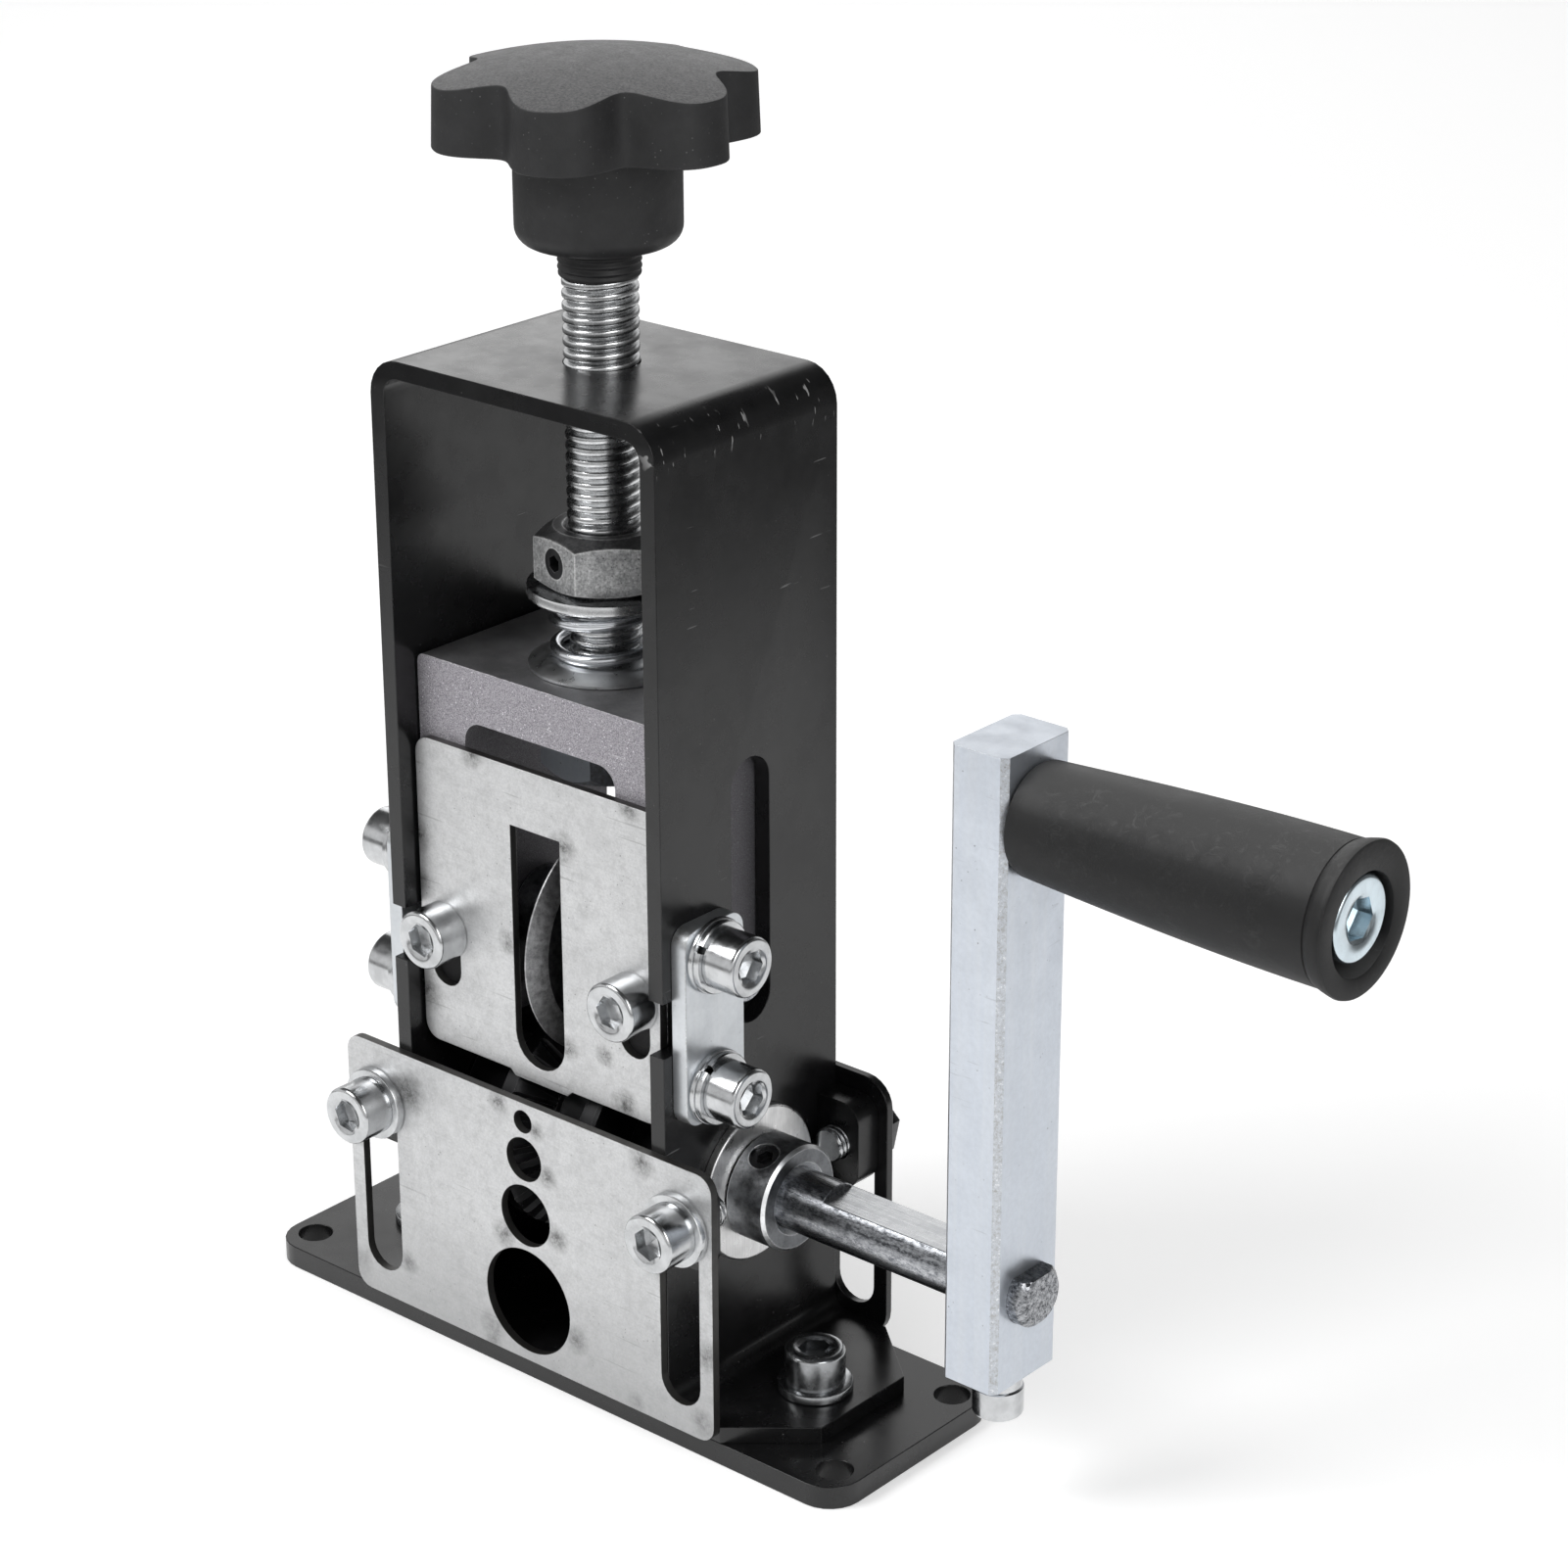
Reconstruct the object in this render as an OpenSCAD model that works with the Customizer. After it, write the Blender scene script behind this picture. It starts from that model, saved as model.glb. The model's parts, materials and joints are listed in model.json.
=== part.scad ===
/* [Base plate] */
// How far the base plate reaches beyond each foot of the frame
base_overhang = 11.5; // [10:0.5:30]
// Thickness of the base plate
base_thickness = 4; // [3:0.5:8]
// Corner radius of the base plate
base_corner_radius = 6; // [2:0.5:10]
// Diameter of the four bench holes
bench_hole_diameter = 6; // [4:0.1:7]
// Distance of the bench holes from the ends of the base plate
bench_hole_inset_x = 5; // [4.5:0.5:8]
// Distance of the bench holes from the front and back of the base plate
bench_hole_inset_y = 6; // [5:0.5:8]

/* [Frame] */
// Depth of the frame from front to back
frame_depth = 42; // [40:1:50]
// Height between the pressing nut and the frame's roof
nut_headroom = 23.4; // [23:0.1:40]
// Thickness of the bent steel strip
sheet = 3; // [2.5:0.1:4]
// Inner radius of each bend
bend_inner_radius = 3; // [1:0.5:5]
// How far each foot reaches out from its wall
foot_length = 23.5; // [22:0.5:30]
// Distance from the wall at which a foot starts to narrow
foot_straight_length = 11; // [8:0.5:14]
// Width of a foot at its end
foot_end_width = 21; // [16:1:30]
// Distance of the foot screws from the wall
foot_screw_reach = 14.5; // [13.5:0.5:16]
// How far in front of the middle the foot screws sit
foot_screw_forward = 1.5; // [0:0.5:3]
// Width of the upright slot in each wall
wall_slot_width = 9; // [8.8:0.1:10]
// How far the blade axle can sink in the wall slot
axle_sink = 2.8; // [1:0.1:3]
// Length of the wall slot
wall_slot_length = 45.5; // [40:0.5:60]
// Height of the open mouth from the front edge into the wall slot
mouth_height = 9.4; // [9:0.1:11]
// How far the middle of the mouth lies below the blade axle
mouth_drop = 1.7; // [0.5:0.1:2]

/* [Lugs] */
// How far a lug stands out from the wall
lug_reach = 9; // [8:0.5:10]
// Height of a lug
lug_height = 15.5; // [13:0.5:20]
// Corner radius of a lug
lug_corner_radius = 3.5; // [1:0.5:5]
// Depth of the rear lugs from front to back
rear_lug_depth = 5; // [3:0.5:6]
// Height of the lug screws above the crank shaft
lug_screw_rise = 2; // [0:0.5:5]
// Distance of the lug screws from the wall
lug_screw_reach = 4; // [3.5:0.1:5]

/* [Side straps] */
// Depth of a strap from front to back
strap_depth = 13.7; // [13:0.1:15]
// Height of a strap
strap_height = 34; // [32:1:40]
// Thickness of a strap
strap_thickness = 3; // [2:0.5:4]
// Corner radius of a strap
strap_corner_radius = 3; // [1:0.5:5]
// How far the front edge of a strap lies behind the front of the frame
strap_setback = 2; // [1:0.1:3]
// Distance of the strap screws behind the front of the frame
strap_screw_setback = 8.6; // [8:0.1:9.5]
// Distance between the two screws of a strap
strap_screw_spacing = 22.8; // [20:0.2:24]

/* [Screws and washers] */
// Thread diameter of the small cap screws
screw_diameter = 6; // [5:0.1:6]
// Head diameter of the small cap screws
head_diameter = 10; // [9:0.1:10]
// Head height of the small cap screws
head_height = 6; // [4:0.5:6]
// Width across the flats of a small cap screw's socket
socket_across = 5; // [4:0.1:5]
// Depth of a small cap screw's socket
socket_depth = 3; // [2:0.5:4]
// Edge chamfer of screw heads, washers and nuts
edge_chamfer = 0.5; // [0.2:0.1:0.6]
// Outer diameter of the small washers
washer_diameter = 12.5; // [11:0.1:12.5]
// Thickness of the foot and guide washers
washer_thickness = 1.6; // [1:0.1:1.6]
// Thickness of each of the two washers under a strap screw
strap_washer_thickness = 1; // [0.8:0.1:1.2]
// How far the front screw ends stand out behind the lugs
screw_end_length = 4; // [2:0.5:4]
// How far the rear bolt ends stand out in front of the rear lugs
bolt_end_length = 2; // [1:0.5:2]
// Head height of the rear hexagon bolts
bolt_head_height = 4; // [3:0.5:5]

/* [Guide plates] */
// How far the front and rear plates reach beyond the lugs
plate_overhang = 2; // [1:0.5:6]
// Height of the front and rear plates
plate_height = 48; // [46:1:52]
// Thickness of the front and rear plates
plate_thickness = 1.5; // [1:0.1:2]
// Height of the lower edge of the plates above the base plate
plate_lift = 0.3; // [0.2:0.1:1]
// Corner radius of the front plate
front_plate_corner_radius = 3; // [1:0.5:5]
// Corner radius of the rear plate
rear_plate_corner_radius = 5; // [1:0.5:7]
// Width of the adjusting slots
plate_slot_width = 8.4; // [7:0.1:8.6]
// Height of the lower end of the adjusting slots above the plate's lower edge
plate_slot_bottom = 5; // [4:0.5:8]
// Diameter of the smallest wire hole
wire_hole_1 = 4; // [3:0.1:4.2]
// Diameter of the second wire hole
wire_hole_2 = 7.8; // [7:0.1:8]
// Diameter of the third wire hole
wire_hole_3 = 11; // [10:0.1:11.2]
// Diameter of the largest wire hole
wire_hole_4 = 19; // [17:0.1:19.2]
// Metal left between two wire holes
wire_hole_web = 1; // [0.8:0.1:1.5]
// Metal left below the largest wire hole
wire_hole_margin = 1.8; // [1.5:0.1:2.5]

/* [Blade block] */
// Gap between the block and each wall of the frame
block_side_gap = 0.3; // [0.2:0.05:0.5]
// How far the block's front lies behind the front of the frame
block_setback = 4.6; // [4:0.1:6]
// Height of the block's lower end above the crank shaft
block_lift = 18.5; // [15:0.5:20]
// Height of the block's top above the blade axle
block_rise = 46.7; // [45:0.1:50]
// Width of the block's opening
opening_width = 32.8; // [30:0.2:40]
// Thickness of each leg of the block
block_leg = 10.3; // [9:0.1:11]
// Thickness of the block above its opening
block_bridge = 9.2; // [8:0.1:10]
// Corner radius of the opening
block_opening_radius = 3.5; // [1:0.5:5]
// Edge radius of the block's top
block_edge_radius = 1.5; // [0.5:0.1:3]
// How far the blade reaches down into the groove of the feed wheel
blade_bite = 4.5; // [2:0.1:6]
// Diameter of the blade axle
blade_axle_diameter = 8.6; // [8:0.1:8.6]
// How far each end of the blade axle lies inside the wall's outer face
blade_axle_inset = 0.5; // [0:0.1:2]
// How far the blade's edge lies behind the front of the frame
blade_setback = 0.2; // [0.2:0.1:2]
// Thickness of the stripping blade
blade_thickness = 3; // [2:0.1:3]
// Width of the blade's ground edge, measured along the radius
blade_bevel = 3.8; // [2:0.1:5]
// Thickness left at the cutting edge
blade_edge = 0.3; // [0.2:0.1:0.5]
// Outer diameter of the spacers beside the blade
spacer_diameter = 14; // [12:0.5:16]

/* [Guard plate] */
// Height of the guard plate
guard_height = 54; // [50:0.5:56]
// Thickness of the guard plate
guard_thickness = 1.5; // [1:0.1:2]
// How far the guard plate reaches down beyond the blade's edge
guard_overhang = 0.1; // [0:0.1:1]
// Corner radius of the guard plate
guard_corner_radius = 3; // [1:0.5:5]
// Gap between the guard plate and each wall of the frame
guard_side_gap = 0.5; // [0.3:0.1:1]
// Width of the window over the blade
window_width = 10.8; // [8:0.2:12]
// Length of the window over the blade
window_height = 41.7; // [38:0.1:43]
// Metal left below the window
window_margin = 2; // [1.5:0.1:4]
// Width of the lip under the window
lip_width = 11.8; // [10:0.2:14]
// Drop of the lip below the plate's lower edge
lip_drop = 1; // [0.5:0.1:1.2]
// Width of the guard's adjusting slots
guard_slot_width = 6.4; // [6.2:0.1:7]
// Length of the guard's adjusting slots
guard_slot_length = 13.2; // [10:0.2:16]
// Distance of the guard screws from the sides of the block
guard_screw_inset = 5.7; // [5:0.1:6]
// How far the guard screws lie below the blade axle
guard_screw_drop = 0.1; // [0:0.1:1]
// Depth of the guard screws in the block
guard_screw_bite = 8; // [6:0.5:9]

/* [Pressure screw] */
// Diameter of the pressure screw
rod_diameter = 12; // [10:0.1:12]
// How far the pressure screw reaches into the knob
rod_in_knob = 14; // [8:1:18]
// Width across the flats of the two nuts
nut_across = 19.8; // [18:0.1:20]
// Height of the pressing nut
nut_height = 9.5; // [8:0.5:10]
// Height of the retaining nut
retaining_nut_height = 8; // [6:0.5:8]
// Turn of the pressing nut about the screw, in degrees
nut_turn = -12; // [-30:1:30]
// Turn of the retaining nut about the screw, in degrees
retaining_nut_turn = -3; // [-30:1:30]
// Outer diameter of the large washers
large_washer_diameter = 25.5; // [22:0.5:27]
// Thickness of the large washers
large_washer_thickness = 2; // [1.5:0.1:2.5]
// Height of the spring between the large washers
spring_height = 9.9; // [9:0.1:12]
// Outer diameter of the spring
spring_diameter = 18.6; // [17:0.1:20]
// Wire diameter of the spring
spring_wire = 2; // [1.5:0.1:2]
// Number of turns of the spring
spring_turns = 2.25; // [1.75:0.25:2.25]
// Thread diameter of the small grub screws
grub_diameter = 5; // [3:0.5:5]

/* [Knob] */
// Height of the knob's lower end above the frame
knob_lift = 13.8; // [8:0.1:30]
// Diameter over the knob's lobes
knob_diameter = 50; // [40:1:60]
// Depth of the hollows between the lobes
knob_hollow = 6; // [3:0.5:7]
// Height of the lobes at their rim
knob_rim_height = 10.4; // [8:0.5:14]
// Rise of the domed top above the rim
knob_dome = 3.1; // [1:0.5:5]
// Diameter of the knob's hub
knob_hub_diameter = 26; // [20:0.5:30]
// Height of the knob's hub
knob_hub_height = 15.7; // [12:0.1:20]
// Edge radius of the hub's lower end
knob_hub_radius = 3; // [1:0.5:4]
// Diameter of the neck under the hub
knob_neck_diameter = 13.2; // [13:0.1:16]
// Height of the neck under the hub
knob_neck_height = 5; // [3:0.1:8]
// Number of lobes
knob_lobes = 6; // [5:1:9]
// Turn of the knob, in degrees
knob_turn = 50; // [0:1:60]

/* [Crank shaft] */
// Height between the base plate and the feed wheel
wheel_lift = 15.8; // [15:0.1:20]
// Diameter of the crank shaft
shaft_diameter = 10.5; // [9:0.1:10.5]
// How far the shaft stands out of the crank arm
shaft_end_length = 2.9; // [2:0.1:8]
// How far the shaft stands out of the left collar
shaft_tail_length = 2.6; // [1:0.1:8]
// Depth of the flat on the shaft
shaft_flat_depth = 1.55; // [1:0.05:2]
// Length of the flat on the shaft
shaft_flat_length = 41; // [20:0.5:45]
// How far the bush flanges stay clear of the front of the frame
bush_flange_setback = 7.75; // [7:0.25:9]
// Thickness of the bush flanges
bush_flange_thickness = 1.5; // [1:0.1:2.5]
// Diameter of the bushes in the walls
bush_diameter = 16; // [14:0.5:18]
// Outer diameter of the shaft collars
collar_diameter = 18; // [16:0.5:20]
// Width of the shaft collars
collar_width = 8.2; // [7:0.1:9]
// Lean of the collar screws towards the front, in degrees
collar_screw_lean = 26; // [0:1:45]
// Thread diameter of the collar screws
collar_screw_diameter = 5; // [4:0.5:5]
// Depth of a collar screw below the collar's surface
collar_screw_depth = 0.6; // [0.4:0.1:1]

/* [Feed wheel] */
// Gap between the feed wheel and each of the plates in front of it and behind it
wheel_plate_gap = 1.3; // [1:0.1:3]
// Width of the feed wheel
wheel_width = 21; // [18:0.5:24]
// Width of the groove at the rims
groove_width = 14; // [12:0.5:15]
// Width of the floor of the groove
groove_floor_width = 7; // [6:0.5:8]
// Depth of the groove
groove_depth = 8.2; // [5:0.1:9]
// How far the teeth start outside the floor of the groove
tooth_start = 0.8; // [0.5:0.1:3]
// Number of teeth on each side of the groove
groove_teeth = 36; // [12:2:48]
// Depth of the teeth
tooth_depth = 0.9; // [0.3:0.1:1]
// Diameter of the wheel's hubs
wheel_hub_diameter = 18; // [16:0.5:20]
// Gap between a hub and the bush beside it
wheel_hub_gap = 0.4; // [0.2:0.1:1]

/* [Crank] */
// Distance from the shaft to the handle
crank_radius = 79.3; // [70:0.1:100]
// Thickness of the crank arm
arm_thickness = 10.5; // [10:0.5:12]
// Width of the crank arm
arm_width = 16; // [14:0.5:20]
// Distance of the arm's inner face from the wall of the frame
arm_distance = 45.6; // [30:0.1:60]
// Length of the arm beyond the handle
arm_end_top = 11.5; // [10:0.5:14]
// Length of the arm beyond the shaft
arm_end_bottom = 15.3; // [12:0.1:18]
// Edge chamfer of the arm
arm_chamfer = 1; // [0.5:0.1:2]
// Diameter of the clamping screw under the arm
clamp_screw_diameter = 5; // [4:0.5:6]
// Head diameter of the clamping screw
clamp_head_diameter = 8.2; // [8:0.1:9]
// Head height of the clamping screw
clamp_head_height = 5; // [4:0.5:6]
// Height of the spring washers between the clamping screw and the arm
clamp_washer_height = 3; // [1:0.5:4]

/* [Handle] */
// Length of the handle
handle_length = 56.5; // [50:0.5:80]
// Diameter of the handle at the arm
handle_root_diameter = 17.6; // [16:0.1:20]
// Diameter of the handle before its rim
handle_body_diameter = 21.2; // [19:0.1:22]
// Diameter of the handle's rim
handle_rim_diameter = 23.5; // [22:0.1:26]
// Width of the handle's rim
handle_rim_width = 6; // [4:0.5:8]
// Thread diameter of the handle bolt
handle_bolt_diameter = 8; // [6:0.5:8]
// Head diameter of the handle bolt
handle_bolt_head_diameter = 13; // [10:0.5:13]
// Head height of the handle bolt
handle_bolt_head_height = 8; // [6:0.5:8]
// Depth of the bolt head below the handle's end
handle_bolt_sink = 1.5; // [0.5:0.5:4]

/* [Fits] */
// Radial clearance of turning fits
running_clearance = 0.05; // [0.03:0.01:0.1]
// Radial clearance of screws in threads and pieces fixed to each other
thread_clearance = 0.05; // [0.03:0.01:0.1]
// Radial clearance of screws in through holes
bolt_clearance = 0.3; // [0.2:0.05:0.5]
// End gap between pieces that turn against each other
end_gap = 0.2; // [0.1:0.05:0.4]
// Gap between a fixed piece and its seat
seat_gap = 0.02; // [0.01:0.01:0.05]

/* [Hidden] */

$fn = 64;

// Overrun of cuts past the faces they open
cut = 1;
// Steps in a quarter-turn arc of an outline
arc_steps = 6;

// Levels and faces that several pieces share
base_top = base_thickness;
base_width = frame_depth;
block_width = opening_width + 2 * block_leg;
wall_inside = block_width / 2 + block_side_gap;
wall_outside = wall_inside + sheet;
front_face = -frame_depth / 2;
rear_face = frame_depth / 2;
foot_top = base_top + sheet;
foot_reach = wall_outside + foot_length;
foot_taper_start = wall_outside + foot_straight_length;
foot_screw_offset = wall_outside + foot_screw_reach;
base_length = 2 * (foot_reach + base_overhang);
bend_outer_radius = bend_inner_radius + sheet;
plate_z = base_top + plate_lift;
plate_width = 2 * (wall_outside + lug_reach + plate_overhang);
strap_screw_y = front_face + strap_screw_setback;

// The feed wheel lies between the two plates, and the blade reaches down into its groove
wheel_diameter = frame_depth - 2 * wheel_plate_gap;
groove_floor_diameter = wheel_diameter - 2 * groove_depth;
blade_diameter = frame_depth - 2 * blade_setback;
shaft_z = base_top + wheel_lift + wheel_diameter / 2;
axle_z = shaft_z + (wheel_diameter + blade_diameter) / 2 - blade_bite;
lug_screw_z = shaft_z + lug_screw_rise;
lug_screw_offset = wall_outside + lug_screw_reach;
mouth_z = axle_z - mouth_drop;
wall_slot_z = axle_z - axle_sink - wall_slot_width / 2;

// Levels of the blade block and of what presses on it
block_top_z = axle_z + block_rise;
block_bottom_z = shaft_z + block_lift;
block_height = block_top_z - block_bottom_z;
opening_top_z = block_top_z - block_bridge;
block_depth = frame_depth - 2 * block_setback;
block_front = -block_depth / 2;
lower_washer_z = block_top_z;
spring_z = lower_washer_z + large_washer_thickness;
upper_washer_z = spring_z + spring_height;
nut_z = upper_washer_z + large_washer_thickness;
frame_top = nut_z + nut_height + nut_headroom + sheet;
retaining_nut_z = opening_top_z - end_gap - retaining_nut_height;
rod_bottom_z = retaining_nut_z - end_gap;

// Levels of the knob
knob_z = frame_top + knob_lift;
hub_z = knob_z + knob_neck_height;
lobe_z = hub_z + knob_hub_height;
rod_top_z = hub_z + rod_in_knob;

// The guard plate and its screws
guard_z = axle_z - blade_diameter / 2 - guard_overhang;
guard_width = 2 * (wall_inside - guard_side_gap);
guard_face = block_front - guard_thickness;
guard_screw_z = axle_z - guard_screw_drop;
guard_screw_offset = block_width / 2 - guard_screw_inset;

// The crank and its handle
handle_z = shaft_z + crank_radius;
arm_offset = wall_outside + arm_distance;
arm_outside = arm_offset + arm_thickness;
handle_start = arm_outside + end_gap;
handle_end = handle_start + handle_length;
bolt_head_outside = handle_end - handle_bolt_sink;
bolt_head_inside = bolt_head_outside - handle_bolt_head_height;
bush_flange_diameter = frame_depth - 2 * bush_flange_setback;
collar_start = wall_outside + bush_flange_thickness + end_gap;
shaft_reach_right = arm_outside + shaft_end_length;
shaft_reach_left = collar_start + collar_width + shaft_tail_length;
shaft_flat_start = shaft_reach_right - shaft_flat_length;

// Points of an arc about a centre, from one angle to another
function arc(centre, radius, from, to, steps = arc_steps) =
    [for (i = [0:steps]) let (a = from + (to - from) * i / steps)
        centre + radius * [cos(a), sin(a)]];

// The same points on the other side of the vertical axis, in the opposite order
function mirrored(points) =
    [for (i = [len(points) - 1:-1:0]) [-points[i][0], points[i][1]]];

function reversed(points) = [for (i = [len(points) - 1:-1:0]) points[i]];

// Right half of a rectangle on the horizontal axis, with rounded corners
function half_rounded(width, height, radius) = concat(
    arc([width / 2 - radius, radius], radius, -90, 0),
    arc([width / 2 - radius, height - radius], radius, 0, 90));

// A plate in the XZ plane: its outline stands on z = 0, its front lies at y = front
module upright(front, thickness) {
    translate([0, front + thickness, 0]) rotate([90, 0, 0]) linear_extrude(thickness) children();
}

module rounded_outline(width, height, radius) {
    polygon(concat(half_rounded(width, height, radius),
        mirrored(half_rounded(width, height, radius))));
}

// A straight slot with round ends, standing on its lower end
module slot_outline(width, length) {
    polygon(concat(arc([0, width / 2], width / 2, 180, 360, 2 * arc_steps),
        arc([0, length - width / 2], width / 2, 0, 180, 2 * arc_steps)));
}

// Puts what is drawn along +Z along +X, or along -Y
module along_x() {
    rotate([0, 90, 0]) children();
}
module along_front() {
    rotate([90, 0, 0]) children();
}
module both_sides() {
    for (side = [-1, 1]) scale([side, 1, 1]) children();
}

// A socket cap screw, pointing down, with the underside of its head at z = 0
module cap_screw(diameter, length, head_d, head_h, across, depth) {
    difference() {
        union() {
            rotate_extrude() polygon([[0, 0], [head_d / 2, 0], [head_d / 2, head_h - edge_chamfer],
                [head_d / 2 - edge_chamfer, head_h], [0, head_h]]);
            translate([0, 0, -length]) cylinder(h = length + head_h / 2, d = diameter);
        }
        translate([0, 0, head_h - depth]) cylinder(h = depth + cut, d = across / cos(30), $fn = 6);
    }
}

module small_cap_screw(length) {
    cap_screw(screw_diameter, length, head_diameter, head_height, socket_across, socket_depth);
}

// A flat ring that lies on z = 0
module ring(outer, inner, thickness) {
    difference() {
        rotate_extrude() polygon([[0, 0], [outer / 2, 0], [outer / 2, thickness - edge_chamfer / 2],
            [outer / 2 - edge_chamfer / 2, thickness], [0, thickness]]);
        translate([0, 0, -cut]) cylinder(h = thickness + 2 * cut, d = inner);
    }
}

module small_washer(thickness) {
    ring(washer_diameter, screw_diameter + 2 * bolt_clearance, thickness);
}

// A hexagon nut on z = 0, its corners turned down at both ends
module nut(across, height, bore) {
    corner = across / cos(30);
    difference() {
        intersection() {
            cylinder(h = height, d = corner, $fn = 6);
            rotate_extrude() polygon([[0, 0], [across / 2, 0], [corner / 2, (corner - across) / 2],
                [corner / 2, height - (corner - across) / 2], [across / 2, height], [0, height]]);
        }
        translate([0, 0, -cut]) cylinder(h = height + 2 * cut, d = bore);
    }
}

// A headless screw that points down from z = 0
module grub(diameter, length) {
    difference() {
        translate([0, 0, -length]) cylinder(h = length, d = diameter);
        translate([0, 0, -length / 2]) cylinder(h = length, d = diameter / 2 / cos(30), $fn = 6);
    }
}

module base_plate() {
    color("dimgray") difference() {
        translate([0, -base_width / 2, 0]) linear_extrude(base_thickness)
            rounded_outline(base_length, base_width, base_corner_radius);
        for (x = [-1, 1], y = [-1, 1])
            translate([x * (base_length / 2 - bench_hole_inset_x),
                y * (base_width / 2 - bench_hole_inset_y), -cut]) cylinder(h = base_thickness + 2 * cut, d = bench_hole_diameter);
        for (side = [-1, 1])
            translate([side * foot_screw_offset, -foot_screw_forward, -cut])
                cylinder(h = base_thickness + 2 * cut, d = screw_diameter + 2 * thread_clearance);
    }
}

// Half of the bent strip's outline: its outside, then its inside
strip_outside = concat([[foot_reach, foot_top]],
    arc([wall_outside + bend_inner_radius, foot_top + bend_inner_radius], bend_inner_radius, 270, 180),
    arc([wall_outside - bend_outer_radius, frame_top - bend_outer_radius], bend_outer_radius, 0, 90));
strip_inside = concat([[foot_reach, base_top]],
    arc([wall_outside + bend_inner_radius, foot_top + bend_inner_radius], bend_outer_radius, 270, 180),
    arc([wall_outside - bend_outer_radius, frame_top - bend_outer_radius], bend_inner_radius, 0, 90));

module bent_strip() {
    upright(front_face, frame_depth) polygon(concat(strip_outside, mirrored(strip_outside),
        reversed(mirrored(strip_inside)), reversed(strip_inside)));
}

// What is cut off each corner of a foot
module foot_corner() {
    fall = (frame_depth - foot_end_width) / 2 / (foot_reach - foot_taper_start);
    translate([0, 0, base_top - cut]) linear_extrude(sheet + 2 * cut) polygon([
        [foot_taper_start, frame_depth / 2],
        [foot_reach + cut, foot_end_width / 2 - fall * cut],
        [foot_reach + cut, frame_depth / 2 + cut],
        [foot_taper_start, frame_depth / 2 + cut]]);
}

module frame() {
    wall_cut = sheet + 2 * cut;
    color("dimgray") difference() {
        bent_strip();
        for (x = [-1, 1], y = [-1, 1]) scale([x, y, 1]) foot_corner();
        translate([0, 0, frame_top - sheet - cut])
            cylinder(h = wall_cut, d = rod_diameter + 2 * running_clearance);
        both_sides() {
            translate([foot_screw_offset, -foot_screw_forward, base_top - cut])
                cylinder(h = wall_cut, d = screw_diameter + 2 * bolt_clearance);
            translate([wall_inside - cut, 0, wall_slot_z]) rotate([90, 0, 90])
                linear_extrude(wall_cut) slot_outline(wall_slot_width, wall_slot_length);
            translate([wall_inside - cut, front_face - cut, mouth_z - mouth_height / 2])
                cube([wall_cut, frame_depth / 2 + cut, mouth_height]);
            translate([wall_inside - cut, 0, shaft_z]) along_x()
                cylinder(h = wall_cut, d = bush_diameter + 2 * seat_gap);
            for (end = [-1, 1])
                translate([wall_inside - cut, strap_screw_y, mouth_z + end * strap_screw_spacing / 2])
                    along_x() cylinder(h = wall_cut, d = screw_diameter + 2 * thread_clearance);
        }
    }
}

// A lug beside the wall, with its front face at y = front
module lug(front, depth) {
    translate([wall_outside, 0, lug_screw_z - lug_height / 2]) difference() {
        upright(front, depth) polygon(concat([[0, 0]],
            arc([lug_reach - lug_corner_radius, lug_corner_radius], lug_corner_radius, -90, 0),
            arc([lug_reach - lug_corner_radius, lug_height - lug_corner_radius], lug_corner_radius, 0, 90),
            [[0, lug_height]]));
        translate([lug_screw_reach, front + depth + cut, lug_height / 2]) along_front()
            cylinder(h = depth + 2 * cut, d = screw_diameter + 2 * thread_clearance);
    }
}

module front_lugs() {
    color("dimgray") both_sides() lug(front_face, sheet);
}

module rear_lugs() {
    color("dimgray") both_sides() lug(rear_face - rear_lug_depth, rear_lug_depth);
}

module foot_screws() {
    color("silver") for (side = [-1, 1])
        translate([side * foot_screw_offset, -foot_screw_forward, foot_top + washer_thickness])
            small_cap_screw(sheet + base_thickness + washer_thickness - end_gap);
}

module foot_washers() {
    color("silver") for (side = [-1, 1])
        translate([side * foot_screw_offset, -foot_screw_forward, foot_top])
            small_washer(washer_thickness);
}

module side_straps() {
    color("lightgray") both_sides() difference() {
        translate([wall_outside, front_face + strap_setback + strap_depth / 2, mouth_z - strap_height / 2])
            rotate([90, 0, 90]) linear_extrude(strap_thickness)
                rounded_outline(strap_depth, strap_height, strap_corner_radius);
        for (end = [-1, 1])
            translate([wall_outside - cut, strap_screw_y, mouth_z + end * strap_screw_spacing / 2])
                along_x() cylinder(h = strap_thickness + 2 * cut, d = screw_diameter + 2 * bolt_clearance);
    }
}

// Seats along the axes of the four strap screws, at a distance outside the wall
module at_strap_screws(outside) {
    both_sides() for (end = [-1, 1])
        translate([wall_outside + outside, strap_screw_y, mouth_z + end * strap_screw_spacing / 2])
            along_x() children();
}

module strap_screws() {
    under_head = strap_thickness + 2 * strap_washer_thickness;
    color("silver") at_strap_screws(under_head) small_cap_screw(under_head + sheet - end_gap);
}

module strap_washers() {
    color("silver") at_strap_screws(strap_thickness) {
        small_washer(strap_washer_thickness - seat_gap);
        translate([0, 0, strap_washer_thickness])
            ring(washer_diameter - edge_chamfer, screw_diameter + 2 * bolt_clearance,
                strap_washer_thickness);
    }
}

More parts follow.
